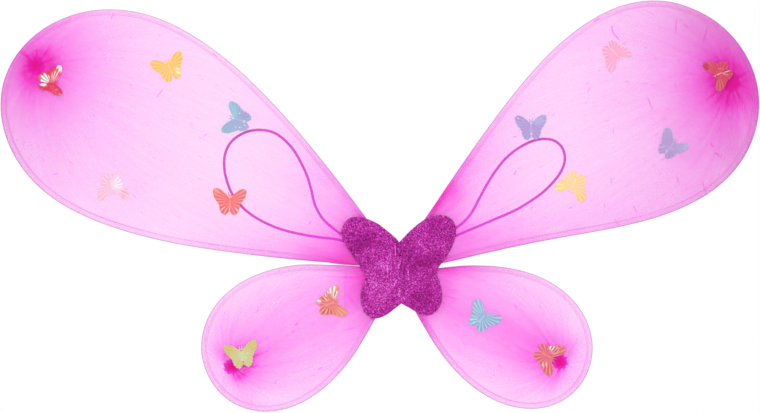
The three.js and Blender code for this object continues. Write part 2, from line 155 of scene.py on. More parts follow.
# ------------------------------------------------------------------ helpers
def catmull(points, closed=False, step=2.0):
    """Centripetal Catmull-Rom through the points, resampled evenly."""
    p = np.array(points, float)
    n = len(p)
    segs = n if closed else n - 1
    out = []
    for i in range(segs):
        if closed:
            a, b, c, d = p[(i - 1) % n], p[i], p[(i + 1) % n], p[(i + 2) % n]
        else:
            b, c = p[i], p[i + 1]
            a = p[i - 1] if i else 2 * b - c
            d = p[i + 2] if i + 2 < n else 2 * c - b
        t0 = 0.0
        t1 = t0 + max(np.linalg.norm(b - a), 1e-6) ** 0.5
        t2 = t1 + max(np.linalg.norm(c - b), 1e-6) ** 0.5
        t3 = t2 + max(np.linalg.norm(d - c), 1e-6) ** 0.5
        for t in np.linspace(t1, t2, 12, endpoint=False):
            a1 = (t1 - t) / (t1 - t0) * a + (t - t0) / (t1 - t0) * b
            a2 = (t2 - t) / (t2 - t1) * b + (t - t1) / (t2 - t1) * c
            a3 = (t3 - t) / (t3 - t2) * c + (t - t2) / (t3 - t2) * d
            b1 = (t2 - t) / (t2 - t0) * a1 + (t - t0) / (t2 - t0) * a2
            b2 = (t3 - t) / (t3 - t1) * a2 + (t - t1) / (t3 - t1) * a3
            out.append((t2 - t) / (t2 - t1) * b1 + (t - t1) / (t2 - t1) * b2)
    out.append(p[0] if closed else p[-1])
    return resample(np.array(out), step, closed)


def resample(line, step, closed=False):
    seg = np.linalg.norm(np.diff(line, axis=0), axis=1)
    s = np.concatenate([[0], np.cumsum(seg)])
    n = max(int(round(s[-1] / step)), 3)
    at = np.linspace(0, s[-1], n + 1)
    out = np.stack([np.interp(at, s, line[:, k]) for k in range(line.shape[1])], 1)
    return out[:-1] if closed else out


def length_of(line):
    return float(np.linalg.norm(np.diff(line, axis=0), axis=1).sum())


def smooth(a, b, x):
    t = np.clip((x - a) / (b - a), 0, 1)
    return t * t * (3 - 2 * t)


def nearest(points, line):
    """Distance from each point to a polyline's points, refined to its segments."""
    a, b = line[:-1], line[1:]
    ab = b - a
    l2 = (ab ** 2).sum(1)
    best = np.full(len(points), 1e9)
    for i in range(0, len(points), 2000):
        p = points[i:i + 2000, None, :]
        t = np.clip(((p - a) * ab).sum(2) / l2, 0, 1)
        d = np.linalg.norm(p - (a + t[..., None] * ab), axis=2)
        best[i:i + 2000] = d.min(1)
    return best


def inside(points, poly):
    x, y = points[:, 0], points[:, 1]
    hit = np.zeros(len(points), bool)
    j = len(poly) - 1
    for i in range(len(poly)):
        xi, yi = poly[i]
        xj, yj = poly[j]
        cross = (yi > y) != (yj > y)
        with np.errstate(divide="ignore", invalid="ignore"):
            at = (xj - xi) * (y - yi) / (yj - yi) + xi
        hit ^= cross & (x < at)
        j = i
    return hit


def blob(p, x, z, rx, rz, deg=0.0):
    c, s = math.cos(math.radians(deg)), math.sin(math.radians(deg))
    u = (p[:, 0] - x) * c + (p[:, 1] - z) * s
    v = -(p[:, 0] - x) * s + (p[:, 1] - z) * c
    return np.exp(-(u / rx) ** 2 - (v / rz) ** 2)


def fill(poly, points, holes=()):
    """Triangles of the region in poly (minus holes) through the given inner points."""
    verts = [Vector(p) for p in poly]
    edges = [(i, (i + 1) % len(poly)) for i in range(len(poly))]
    for h in holes:
        k = len(verts)
        verts += [Vector(p) for p in h]
        edges += [(k + i, k + (i + 1) % len(h)) for i in range(len(h))]
    verts += [Vector(p) for p in points]
    v, _, f, *_ = delaunay_2d_cdt(verts, edges, [], 1, 1e-5)
    v = np.array([[p.x, p.y] for p in v])
    f = np.array([list(t) for t in f if len(t) == 3])
    if len(holes):
        mid = v[f].mean(1)
        keep = np.ones(len(f), bool)
        for h in holes:
            keep &= ~inside(mid, np.array(h))
        f = f[keep]
    a, b, c = v[f[:, 0]], v[f[:, 1]], v[f[:, 2]]
    area = (b[:, 0] - a[:, 0]) * (c[:, 1] - a[:, 1]) - (b[:, 1] - a[:, 1]) * (c[:, 0] - a[:, 0])
    f[area < 0] = f[area < 0][:, ::-1]
    return v, f


def hexgrid(lo, hi, step, jitter=0.0):
    xs = np.arange(lo[0], hi[0], step)
    out = []
    for j, z in enumerate(np.arange(lo[1], hi[1], step * 0.866)):
        out.append(np.stack([xs + (step / 2 if j % 2 else 0), np.full(len(xs), z)], 1))
    out = np.concatenate(out)
    return out + rng.uniform(-jitter, jitter, out.shape) if jitter else out


def mesh_object(name, verts_mm, faces, mats=(), uv=None, attrs=None, colors=None, flat=False):
    me = bpy.data.meshes.new(name)
    me.from_pydata([tuple(v) for v in np.asarray(verts_mm, float) * MM], [], [list(map(int, f)) for f in faces])
    me.update()
    if not flat:
        me.polygons.foreach_set("use_smooth", [True] * len(me.polygons))
    loops = np.zeros(len(me.loops), int)
    me.loops.foreach_get("vertex_index", loops)
    if uv is not None:
        for k, values in uv.items():
            layer = me.uv_layers.new(name=k)
            values = np.asarray(values, np.float32)
            layer.data.foreach_set("uv", (values[loops] if len(values) == len(me.vertices) else values).ravel())
    for k, values in (attrs or {}).items():
        a = me.attributes.new(k, "FLOAT", "POINT")
        a.data.foreach_set("value", np.asarray(values, np.float32))
    for k, values in (colors or {}).items():
        a = me.color_attributes.new(k, "FLOAT_COLOR", "POINT")
        c = np.ones((len(me.vertices), 4), np.float32)
        c[:, :3] = values
        a.data.foreach_set("color", c.ravel())
    for m in mats:
        me.materials.append(m)
    o = bpy.data.objects.new(name, me)
    scene.collection.objects.link(o)
    return o


def tube_data(path, radius, sides, closed=False, up=(0, 1, 0)):
    """Vertices, quads and a (round, along) UV for a tube along a line, in mm."""
    path = np.asarray(path, float)
    n = len(path)
    if closed:
        tan = np.roll(path, -1, 0) - np.roll(path, 1, 0)
    else:
        tan = np.gradient(path, axis=0)
    tan /= np.linalg.norm(tan, axis=1)[:, None]
    nrm = np.zeros_like(path)
    v = np.array(up, float)
    for i in range(n):
        v = v - (v @ tan[i]) * tan[i]
        v /= np.linalg.norm(v)
        nrm[i] = v
    if closed:  # spread the twist left over
        b = np.cross(tan[0], nrm[0])
        last = nrm[-1] - (nrm[-1] @ tan[0]) * tan[0]
        twist = math.atan2(last @ b, last @ nrm[0])
    else:
        twist = 0.0
    bi = np.cross(tan, nrm)
    seg = np.linalg.norm(np.diff(path, axis=0, append=path[:1] if closed else path[-1:]), axis=1)
    s = np.concatenate([[0], np.cumsum(seg)])
    rad = np.broadcast_to(np.asarray(radius, float), (n,))
    verts, uvs = [], []
    for i in range(n):
        for k in range(sides):
            a = 2 * math.pi * k / sides - twist * i / n
            verts.append(path[i] + rad[i] * (math.cos(a) * nrm[i] + math.sin(a) * bi[i]))
    faces, fuv = [], []
    rows = n if closed else n - 1
    for i in range(rows):
        j = (i + 1) % n
        for k in range(sides):
            m = (k + 1) % sides
            faces.append([i * sides + k, i * sides + m, j * sides + m, j * sides + k])
            fuv += [(k / sides, s[i]), ((k + 1) / sides, s[i]), ((k + 1) / sides, s[i + 1]), (k / sides, s[i + 1])]
    if not closed:
        for base, flip in ((0, True), ((n - 1) * sides, False)):
            c = len(verts)
            verts.append(path[0] if flip else path[-1])
            for k in range(sides):
                m = (k + 1) % sides
                faces.append([c, base + m, base + k] if flip else [c, base + k, base + m])
                fuv += [(0.5, 0), (0, 0), (1, 0)]
    return np.array(verts), faces, np.array(fuv)


# ---------------------------------------------------------------- materials
class Mat:
    def __init__(self, name):
        self.m = bpy.data.materials.new(name)
        self.m.use_nodes = True
        self.nt = self.m.node_tree
        self.nt.nodes.clear()
        self.out = self.nt.nodes.new("ShaderNodeOutputMaterial")

    def node(self, kind, ins=None, **props):
        n = self.nt.nodes.new("ShaderNode" + kind)
        for k, v in props.items():
            setattr(n, k, v)
        for k, v in (ins or {}).items():
            if isinstance(v, bpy.types.NodeSocket):
                self.nt.links.new(v, n.inputs[k])
            else:
                n.inputs[k].default_value = v
        return n

    def math(self, op, *args, clamp=False):
        n = self.nt.nodes.new("ShaderNodeMath")
        n.operation = op
        n.use_clamp = clamp
        for i, v in enumerate(args):
            if isinstance(v, bpy.types.NodeSocket):
                self.nt.links.new(v, n.inputs[i])
            else:
                n.inputs[i].default_value = v
        return n.outputs[0]

    def vmath(self, op, *args, scale=None):
        n = self.nt.nodes.new("ShaderNodeVectorMath")
        n.operation = op
        for i, v in enumerate(args):
            if isinstance(v, bpy.types.NodeSocket):
                self.nt.links.new(v, n.inputs[i])
            else:
                n.inputs[i].default_value = v
        if scale is not None:
            if isinstance(scale, bpy.types.NodeSocket):
                self.nt.links.new(scale, n.inputs["Scale"])
            else:
                n.inputs["Scale"].default_value = scale
        return n.outputs["Value"] if op in ("LENGTH", "DOT_PRODUCT", "DISTANCE") else n.outputs[0]

    def attr(self, name):
        n = self.nt.nodes.new("ShaderNodeAttribute")
        n.attribute_name = name
        return n

    def uv(self, name):
        n = self.nt.nodes.new("ShaderNodeUVMap")
        n.uv_map = name
        return n.outputs[0]

    def noise(self, vec, scale=1.0, detail=2.0, rough=0.5, color=False):
        n = self.node("TexNoise", {"Vector": vec, "Scale": scale, "Detail": detail, "Roughness": rough})
        return n.outputs[1] if color else n.outputs[0]

    def ramp(self, fac, stops, smooth_=False):
        n = self.nt.nodes.new("ShaderNodeValToRGB")
        self.nt.links.new(fac, n.inputs[0])
        e = n.color_ramp.elements
        while len(e) < len(stops):
            e.new(0.5)
        for el, (p, c) in zip(e, stops):
            el.position = p
            el.color = (*c, 1.0) if len(c) == 3 else c
        n.color_ramp.interpolation = "EASE" if smooth_ else "LINEAR"
        return n.outputs[0]

    def mix(self, fac, a, b):
        n = self.nt.nodes.new("ShaderNodeMix")
        n.data_type = "RGBA"
        for k, v in ((0, fac), (6, a), (7, b)):
            if isinstance(v, bpy.types.NodeSocket):
                self.nt.links.new(v, n.inputs[k])
            else:
                n.inputs[k].default_value = (*v, 1.0) if k and len(v) == 3 else v
        return n.outputs[2]

    def bump(self, height, strength=1.0, distance=MM, normal=None):
        ins = {"Height": height, "Strength": strength, "Distance": distance}
        if normal is not None:
            ins["Normal"] = normal
        return self.node("Bump", ins).outputs[0]

    def principled(self, **ins):
        n = self.nt.nodes.new("ShaderNodeBsdfPrincipled")
        names = {"color": "Base Color", "rough": "Roughness", "metal": "Metallic", "alpha": "Alpha",
                 "normal": "Normal", "spec": "Specular IOR Level", "sheen": "Sheen Weight",
                 "sheen_rough": "Sheen Roughness", "coat": "Coat Weight", "coat_rough": "Coat Roughness"}
        for k, v in ins.items():
            s = n.inputs[names[k]]
            if isinstance(v, bpy.types.NodeSocket):
                self.nt.links.new(v, s)
            elif s.type == "RGBA":
                s.default_value = (*v, 1.0)
            else:
                s.default_value = v
        self.nt.links.new(n.outputs[0], self.out.inputs[0])
        return n


# short dark marks in the knit: x, z, direction (degrees), half length, half width, depth
MARKS = {
    "upper_left": [(-216, 162, 52, 4.4, 0.5, 0.32), (-259, 231, 65, 2.6, 0.5, 0.35), (-166.5, 196, -40, 2.2, 0.5, 0.4),
                   (-175.5, 124, 50, 2.0, 0.5, 0.25), (-81, 45, 45, 2.2, 0.5, 0.3), (-310, 89, 20, 2.6, 0.5, 0.25),
                   (-53, 10.5, -11, 16, 0.8, 0.30), (-348, 110, -50, 4.0, 0.5, 0.25)],
    "upper_right": [(248.4, 222, 88, 5.4, 0.55, 0.42), (274.6, 214, 76, 7.0, 0.5, 0.40), (225, 152.5, 112, 5.4, 0.55, 0.40),
                    (170, 165, 60, 3.0, 0.5, 0.3), (192, 128, 95, 2.6, 0.5, 0.25), (191, 219.5, 100, 3.2, 0.6, 0.5),
                    (194.6, 213, -48, 4.6, 0.6, 0.5), (177, 228, 32, 3.4, 0.7, 0.35), (274, 76.5, -73, 6.4, 0.5, 0.38),
                    (281, 115, -50, 2.4, 0.7, 0.42), (285.5, 107, -25, 2.4, 0.7, 0.42), (250, 84, 105, 3.4, 0.5, 0.30),
                    (190, 83, 97, 2.6, 0.5, 0.30), (211.5, 57.5, 118, 3.2, 0.5, 0.38), (195, 45.5, 120, 2.8, 0.5, 0.35),
                    (103.5, 90, 70, 2.0, 0.7, 0.42), (118.5, 58.5, 65, 1.8, 0.5, 0.32), (248, 169, 100, 2.4, 0.5, 0.25),
                    (184, 61, 95, 2.2, 0.5, 0.25)],
    "lower_left": [(-93, -46, 40, 2.0, 0.5, 0.45), (-112, -98, 60, 2.0, 0.5, 0.35), (-72, -86, 35, 2.4, 0.5, 0.35),
                   (-128, -34, 65, 2.2, 0.5, 0.35), (-44, -50, 12, 6.0, 0.6, 0.25), (-50, -3.8, -2.4, 17, 0.55, 0.26),
                   (-49.4, -10, 88, 14, 0.55, 0.14), (-43.5, -25, -46, 8.0, 0.6, 0.22)],
    "lower_right": [(104, -30, 120, 2.4, 0.5, 0.35), (90, -84, 140, 2.4, 0.5, 0.35), (58, -64, 135, 2.2, 0.5, 0.3),
                    (46, -22, 165, 7.0, 0.6, 0.22)]}


def nylon_material(wing):
    """Sheer knit: the threads cover part of the area, more where it is gathered."""
    m = Mat("sheer_nylon_" + wing)
    rx, rz = ROOTS[wing]
    kx, kz = KNOTS[wing]
    upper = wing.startswith("upper")
    p = m.vmath("SCALE", m.uv("plan"), scale=100.0)
    dr = m.node("SeparateXYZ", {0: m.vmath("SUBTRACT", p, (rx, rz, 0))})
    dk = m.node("SeparateXYZ", {0: m.vmath("SUBTRACT", p, (kx, kz, 0))})
    sig = m.math("SUBTRACT", m.math("ARCTAN2", dr.outputs[1], dr.outputs[0]),
                 m.math("ARCTAN2", dk.outputs[1], dk.outputs[0]))
    lr = m.vmath("DISTANCE", p, (rx, rz, 0))
    lk = m.vmath("DISTANCE", p, (kx, kz, 0))
    tau = m.math("LOGARITHM", m.math("DIVIDE", m.math("ADD", lr, 2.0), m.math("ADD", lk, 2.0)), math.e)
    a, b = (62.0, 5.0) if upper else (46.0, 2.6)
    cs, sn = m.math("COSINE", sig), m.math("SINE", sig)
    stream = m.node("CombineXYZ", {0: m.math("MULTIPLY", cs, a), 1: m.math("MULTIPLY", sn, a),
                                   2: m.math("MULTIPLY", tau, b)}).outputs[0]
    fine = m.noise(stream, 1.0, 3.0, 0.65)
    broad = m.noise(stream, 0.22, 2.0, 0.5)
    wide = m.noise(p, 0.02, 2.0, 0.5)
    tickn = m.noise(m.vmath("MULTIPLY", stream, (1.1, 1.1, 3.0)), 0.9, 0.0, 0.5)
    patch = m.noise(p, 0.11, 0.0, 0.5)
    tick = m.math("MULTIPLY", m.math("MULTIPLY", m.math("SUBTRACT", tickn, 0.69, clamp=True), 9.0, clamp=True),
                  m.math("MULTIPLY", m.math("SUBTRACT", patch, 0.5, clamp=True), 6.0, clamp=True))
    grain = m.noise(p, 0.75, 2.0, 0.7)
    near = m.math("EXPONENT", m.math("DIVIDE", lk, -17.0))
    s = m.math("MULTIPLY", m.math("SUBTRACT", fine, 0.5), m.math("ADD", m.math("MULTIPLY", near, 0.9), 0.34 if upper else 0.44))
    s = m.math("ADD", s, m.math("MULTIPLY", m.math("SUBTRACT", broad, 0.5), m.math("ADD", m.math("MULTIPLY", near, 0.8), 0.30)))
    s = m.math("ADD", s, m.math("MULTIPLY", m.math("SUBTRACT", wide, 0.5), 0.16))
    s = m.math("ADD", s, m.math("MULTIPLY", m.math("SUBTRACT", grain, 0.5), 0.34))
    s = m.math("ADD", s, m.math("MULTIPLY", tick, 0.55))
    depth = m.attr("depth").outputs[2]
    edge = m.attr("edge").outputs[2]
    d = m.math("MULTIPLY", depth, m.math("MAXIMUM", m.math("ADD", s, 1.0), 0.1))
    d = m.math("ADD", d, m.math("MULTIPLY", edge, 0.86))
    for x, z, deg, half, width, strength in MARKS[wing]:
        q = m.vmath("SUBTRACT", p, (x, z, 0))
        c_, s_ = math.cos(math.radians(deg)), math.sin(math.radians(deg))
        a_ = m.math("DIVIDE", m.vmath("DOT_PRODUCT", q, (c_, s_, 0)), half)
        b_ = m.math("DIVIDE", m.vmath("DOT_PRODUCT", q, (-s_, c_, 0)), width)
        r2 = m.math("ADD", m.math("POWER", m.math("ABSOLUTE", a_), 4.0), m.math("MULTIPLY", b_, b_))
        d = m.math("ADD", d, m.math("MULTIPLY", m.math("EXPONENT", m.math("MULTIPLY", r2, -1.0)), strength))
    cover = m.math("SUBTRACT", 1.0, m.math("EXPONENT", m.math("MULTIPLY", d, -1.0)), clamp=True)
    thread = m.ramp(cover, [(0.0, (0.96, 0.13, 0.885)), (0.40, (0.98, 0.10, 0.89)), (0.62, (1.0, 0.045, 0.82)),
                            (0.80, (0.99, 0.012, 0.62)), (1.0, (0.80, 0.0, 0.24))])
    if not upper:
        close = m.math("EXPONENT", m.math("MULTIPLY", m.math("MULTIPLY", lk, lk), -1 / 20.0))
        thread = m.mix(m.math("MULTIPLY", close, 0.5), thread, (0.86, 0.0, 0.22))
    # painted shade: the knit is mixed towards a dark greyish mauve where the shade attribute is high
    thread = m.mix(m.attr("shade").outputs[2], thread, (0.52, 0.016, 0.38))
    # painted shade: the edge attribute greys the knit towards a dark mauve at the rim's outer line and at the faint
    # inner line
    color = m.mix(m.math("MULTIPLY", edge, 1.0, clamp=True), thread, (0.48, 0.24, 0.45))
    normal = m.bump(m.math("ADD", fine, grain), 0.12, 0.2 * MM)
    m.principled(color=color, rough=0.6, spec=0.12, alpha=cover, normal=normal)
    m.m.surface_render_method = "BLENDED"
    return m.m


def wire_material():
    m = Mat("coated_wire")
    v = m.noise(m.node("TexCoord").outputs["Object"], 180.0, 2.0, 0.5)
    color = m.mix(v, (1.0, 0.95, 0.985), (0.97, 0.90, 0.96))
    m.principled(color=color, rough=0.45, spec=0.35)
    return m.m


def cord_material():
    """Round braided elastic: a fine diamond weave."""
    m = Mat("elastic_cord")
    uv = m.node("SeparateXYZ", {0: m.uv("braid")})
    u = m.math("MULTIPLY", uv.outputs[0], 2 * math.pi * 4)
    v = m.math("MULTIPLY", uv.outputs[1], 2 * math.pi / 1.9)
    w1 = m.math("SINE", m.math("ADD", u, v))
    w2 = m.math("SINE", m.math("SUBTRACT", u, v))
    h = m.math("ABSOLUTE", m.math("MULTIPLY", w1, w2))
    n = m.noise(m.node("TexCoord").outputs["Object"], 900.0, 2.0, 0.6)
    fac = m.math("ADD", m.math("MULTIPLY", h, 0.7), m.math("MULTIPLY", n, 0.3), clamp=True)
    color = m.mix(fac, (0.50, 0.060, 0.34), (0.80, 0.19, 0.62))
    m.principled(color=color, rough=0.7, spec=0.25, sheen=0.25, normal=m.bump(h, 0.6, 0.25 * MM))
    return m.m


def thread_material(name="thread", c0=(0.32, 0.0, 0.09), c1=(0.72, 0.015, 0.26)):
    m = Mat(name)
    uv = m.node("SeparateXYZ", {0: m.uv("braid")})
    w = m.math("SINE", m.math("ADD", m.math("MULTIPLY", uv.outputs[0], 2 * math.pi),
                              m.math("MULTIPLY", uv.outputs[1], 2 * math.pi / 0.7)))
    h = m.math("ADD", m.math("MULTIPLY", w, 0.5), 0.5)
    m.principled(color=m.mix(h, c0, c1), rough=0.65, spec=0.3, normal=m.bump(h, 0.5, 0.1 * MM))
    return m.m


def wound_material():
    """Thread wound side by side, for the plain tie rings."""
    m = Mat("wound_thread")
    co = m.vmath("SCALE", m.node("TexCoord").outputs["Object"], scale=1000.0)
    n = m.noise(co, 1.6, 3.0, 0.7)
    w = m.node("TexWave", {"Vector": co, "Scale": 0.55, "Distortion": 1.5, "Detail": 2.0})
    h = m.math("ADD", m.math("MULTIPLY", w.outputs[1], 0.6), m.math("MULTIPLY", n, 0.4))
    m.principled(color=m.mix(h, (0.34, 0.0, 0.10), (0.74, 0.015, 0.28)), rough=0.65, spec=0.3,
                 normal=m.bump(h, 0.7, 0.3 * MM))
    return m.m


def tape_material():
    m = Mat("binding_tape")
    co = m.vmath("SCALE", m.node("TexCoord").outputs["Object"], scale=1000.0)
    n = m.noise(co, 0.9, 4.0, 0.6)
    w = m.node("TexWave", {"Vector": co, "Scale": 0.075, "Distortion": 2.0, "Detail": 3.0},
               bands_direction="Z", wave_profile="SAW")
    h = m.math("ADD", m.math("MULTIPLY", w.outputs[1], 0.7), m.math("MULTIPLY", n, 0.3))
    m.principled(color=m.mix(n, (0.78, 0.70, 0.75), (0.66, 0.57, 0.62)), rough=0.65,
                 normal=m.bump(h, 0.6, 0.4 * MM))
    return m.m


def gathered_material():
    """The nylon drawn into many layers: dense, with pleats along the gather."""
    m = Mat("gathered_nylon")
    uv = m.node("SeparateXYZ", {0: m.uv("braid")})
    vec = m.node("CombineXYZ", {0: m.math("MULTIPLY", uv.outputs[0], 46.0),
                                1: m.math("MULTIPLY", uv.outputs[1], 0.35), 2: 3.1}).outputs[0]
    n = m.noise(vec, 1.0, 3.0, 0.6)
    m.principled(color=m.ramp(n, [(0.25, (0.52, 0.0, 0.16)), (0.5, (0.86, 0.006, 0.32)), (0.75, (0.98, 0.03, 0.52))]),
                 rough=0.6, spec=0.25, sheen=0.3, normal=m.bump(n, 0.8, 0.5 * MM))
    return m.m


def glitter_material():
    """Glitter on foam: small flakes each at its own tilt and shade."""
    m = Mat("glitter_fabric")
    co = m.vmath("SCALE", m.uv("plan"), scale=100.0)
    painted_light_and_mottle = m.attr("painted_light_and_mottle").outputs[2]
    tcol = m.node("TexNoise", {"Vector": co, "Scale": 0.085, "Detail": 3.0, "Roughness": 0.6}).outputs[0]
    flake = m.node("TexVoronoi", {"Vector": co, "Scale": 1.25, "Randomness": 1.0})
    small = m.node("TexVoronoi", {"Vector": m.vmath("ADD", co, (31.7, 8.3, 2.0)), "Scale": 2.7, "Randomness": 1.0})
    f1 = m.node("SeparateColor", {0: flake.outputs["Color"]})
    f2 = m.node("SeparateColor", {0: small.outputs["Color"]})
    sh = m.math("ADD", m.math("MULTIPLY", f1.outputs[0], 0.62), m.math("MULTIPLY", f2.outputs[0], 0.38))
    sh = m.math("ADD", sh, m.math("MULTIPLY", m.math("SUBTRACT", tcol, 0.5), 0.42))
    # painted light and shade from the attribute, with some random mottle, shifts the glitter colour
    sh = m.math("ADD", sh, m.math("MULTIPLY", painted_light_and_mottle, 0.22))
    color = m.ramp(sh, [(0.05, (0.15, 0.0, 0.083)), (0.34, (0.325, 0.006, 0.207)), (0.58, (0.505, 0.014, 0.36)),
                        (0.80, (0.70, 0.052, 0.555)), (1.0, (0.86, 0.28, 0.80))])
    tilt = m.vmath("SUBTRACT", m.mix(0.45, flake.outputs["Color"], small.outputs["Color"]), (0.5, 0.5, 0.5))
    geo = m.node("NewGeometry").outputs["Normal"]
    normal = m.vmath("NORMALIZE", m.vmath("ADD", geo, m.vmath("SCALE", tilt, scale=0.62)))
    metal = m.math("GREATER_THAN", f1.outputs[1], 0.45)
    m.principled(color=color, rough=0.36, metal=m.math("MULTIPLY", metal, 0.75), spec=0.22, normal=normal)
    return m.m


def sequin_material():
    m = Mat("sequin_film")
    c = m.attr("film_colour_and_glints").outputs[0]
    co = m.vmath("SCALE", m.uv("plan"), scale=100.0)
    n = m.noise(co, 0.9, 2.0, 0.6)
    color = m.mix(m.math("MULTIPLY", m.math("SUBTRACT", n, 0.4, clamp=True), 0.16), c, (1.0, 0.92, 0.97))
    m.principled(color=color, rough=0.34, spec=0.28, coat=0.10, coat_rough=0.15,
                 normal=m.bump(n, 0.15, 0.2 * MM))
    return m.m


MAT = {
    "wire": wire_material(), "cord": cord_material(), "thread": thread_material(),
    "wound": wound_material(), "tape": tape_material(), "gathered": gathered_material(),
    "glitter": glitter_material(), "sequin": sequin_material()}

# -------------------------------------------------------------- fabric shape
RIM = 2.15       # the nylon's radius round the wire
SLACK = {"upper_left": 0.95, "lower_left": 0.85}   # looser where the two left wings meet at the root
LOOSE = {"upper_left": 0.35, "upper_right": 0.8}   # and at the far ends of the upper wings
FLAT = 1.2       # half the distance between the two layers far from the wire


def wing_path(wing, step):
    return catmull(LOOP[wing] + STEM[wing][::-1], closed=True, step=step)


def fabric_half(e, dk):
    """Half the gap between the two layers at a distance e from the wire and dk from the knot."""
    t = RIM + (FLAT - RIM) * smooth(0.0, 30.0, e)
    return t * (1 - 0.86 * np.exp(-(dk / 11.0) ** 2))


def fabric_mid(dk):
    """The mid-plane, drawn back towards the tie at the knot."""
    return WIRE_Y + 1.35 * np.exp(-(dk / 7.5) ** 2)


# depth of colour: how much of the green the two layers take out
# base level, sideways slope, slope from root to knot, broad middle band (height, half width);
# knot: height, reach towards the root, reach behind, reach sideways, plateau, sharpness;
# root: height, radius, reach; edge: height, reach inwards, reach along
COVER = {
    "upper_left": ((0.264, 0.024, -0.013, -0.009, 14), (0.949, 57.6, 39.5, 61.8, 0.244, 0.99),
                   (0.786, 40.4, 40.6), (0.60, 22, 83.5)),
    "upper_right": ((0.328, -0.064, 0.30, -0.043, 43), (0.953, 51.0, 38.5, 61.2, 0.323, 1.14),
                    (0.619, 55.1, 53.7), (0.60, 22, 126)),
    "lower_left": ((0.280, 0.018, -0.30, 0.21, 45), (0.90, 42.0, 8.8, 25.8, 0.481, 0.73),
                   (0.904, 26.6, 24.5), (0.0, 4, 17)),
    "lower_right": ((0.413, 0.006, -0.30, 0.236, 38.4), (0.61, 38.5, 6.6, 17.0, 0.908, 1.16),
                    (0.411, 38.6, 7.7), (0.60, 2.7, 20))}
# soft extra depth: x, z, half width, half height, turn, height
EXTRA = {
    "upper_left": [(-205, 34, 30, 12, 0, -0.05), (-75, 26, 22, 9, 0, 0.05), (-235, 190, 26, 30, 0, -0.03),
                   (-303, 60, 30, 12, 0, -0.02), (-58, 72, 10, 10, 0, -0.06), (-238, 75, 12, 12, 0, 0.03),
                   (-347, 160, 9, 42, 0, -0.05), (-318, 210, 16, 11, 0, -0.07), (-136, 140, 10, 12, 0, 0.02),
                   (-230, 48, 40, 14, 0, -0.02), (-128, 24, 22, 10, 0, 0.03), (-41, 59, 15, 10, 0, -0.10),
                   (-79, 15, 15, 7, -8, 0.07)],
    "upper_right": [(58, 102, 10, 14, 0, 0.13), (88, 108, 14, 20, 60, 0.03), (142, 36, 16, 8, 0, -0.08),
                    (50, 74, 9, 12, 0, 0.13), (70, 52, 14, 8, 0, -0.04), (262, 104, 12, 10, 0, 0.04),
                    (205, 195, 22, 14, 0, -0.03), (266, 228, 16, 10, 0, 0.03), (72, 18, 22, 8, 0, -0.10),
                    (311, 134, 11, 26, 0, -0.09), (175, 43, 18, 8, 0, -0.05), (243, 190, 12, 12, 0, -0.04),
                    (286, 92, 14, 14, 0, -0.04), (262, 62, 20, 8, 0, -0.04), (37, 69, 20, 5.5, 57, 0.11)],
    "lower_left": [(-70, -2, 16, 6, 0, -0.08), (-118, -112, 20, 6, 0, -0.08), (-154, -45, 8, 12, 0, 0.05),
                   (-105, -8, 18, 7, 0, -0.04), (-144, -104, 12, 6, 0, -0.08), (-159, -83, 7, 8, 0, -0.12),
                   (-60, -14, 10, 7, 0, -0.07), (-48, -46, 8, 12, 0, -0.07), (-171, -58, 5, 8, 0, -0.05),
                   (-38, -20, 10, 18, 0, -0.05), (-42, -23, 6, 9, 0, 0.06),
                   (-151.6, -84.2, 9, 9, 0, -0.10)],
    "lower_right": [(34, -45, 8, 22, 0, -0.05), (158, -50, 8, 14, 0, -0.08), (56, -36, 7, 9, 0, 0.02),
                    (122, -55, 7, 9, 0, 0.01), (104, -108, 10, 6, 0, 0.05), (64, -1, 18, 4.5, 0, 0.09),
                    (60, -20, 17, 9, 0, -0.06), (112, -60, 12, 9, 0, -0.05), (153, -82, 7, 9, 0, -0.07),
                    (126, -110, 12, 6, 0, -0.03), (50, -7, 9, 5, 0, -0.06),
                    (144, -80.1, 6, 6, 0, -0.05)]}


def cover_of(wing, p, e):
    r, k = np.array(ROOTS[wing]), np.array(KNOTS[wing])
    span = np.linalg.norm(k - r)
    u = (k - r) / span
    v = np.array([-u[1], u[0]])
    s, o = (p - r) @ u, (p - r) @ v
    dr = np.linalg.norm(p - r, axis=1)
    (b0, bo, bs, bm, bw), (ka, kf, kb, ks, kp, kn), (ra, rr, rw), (ea, ew, er) = COVER[wing]
    base = b0 + bo * o / 60 + bs * (s / span - 0.5) + bm * np.exp(-(o / bw) ** 2)
    t = span - s
    rad = np.hypot(np.where(t > 0, t / kf, t / kb), o / ks)
    halo = ka * np.exp(-np.maximum(rad - kp, 0) ** kn)
    root = ra * np.exp(-np.maximum(dr - rr, 0) / rw)
    rim = ea * np.exp(-e / ew) * np.exp(-np.maximum(dr - 50, 0) / er)
    g = 1 - (1 - np.clip(base, 0, 0.95)) * (1 - halo) * (1 - root) * (1 - rim)
    for x, z, rx, rz, deg, h in EXTRA[wing]:
        g = g + h * blob(p, x, z, rx, rz, deg)
    if wing == "lower_left":
        g = 1 - (1 - g) * (1 - 0.09 * smooth(-51.5, -49.5, p[:, 0]))
    if wing == "upper_left":
        g = 1 - (1 - g) * (1 - 0.05 * smooth(-55.5, -53.0, p[:, 0]))
    return g


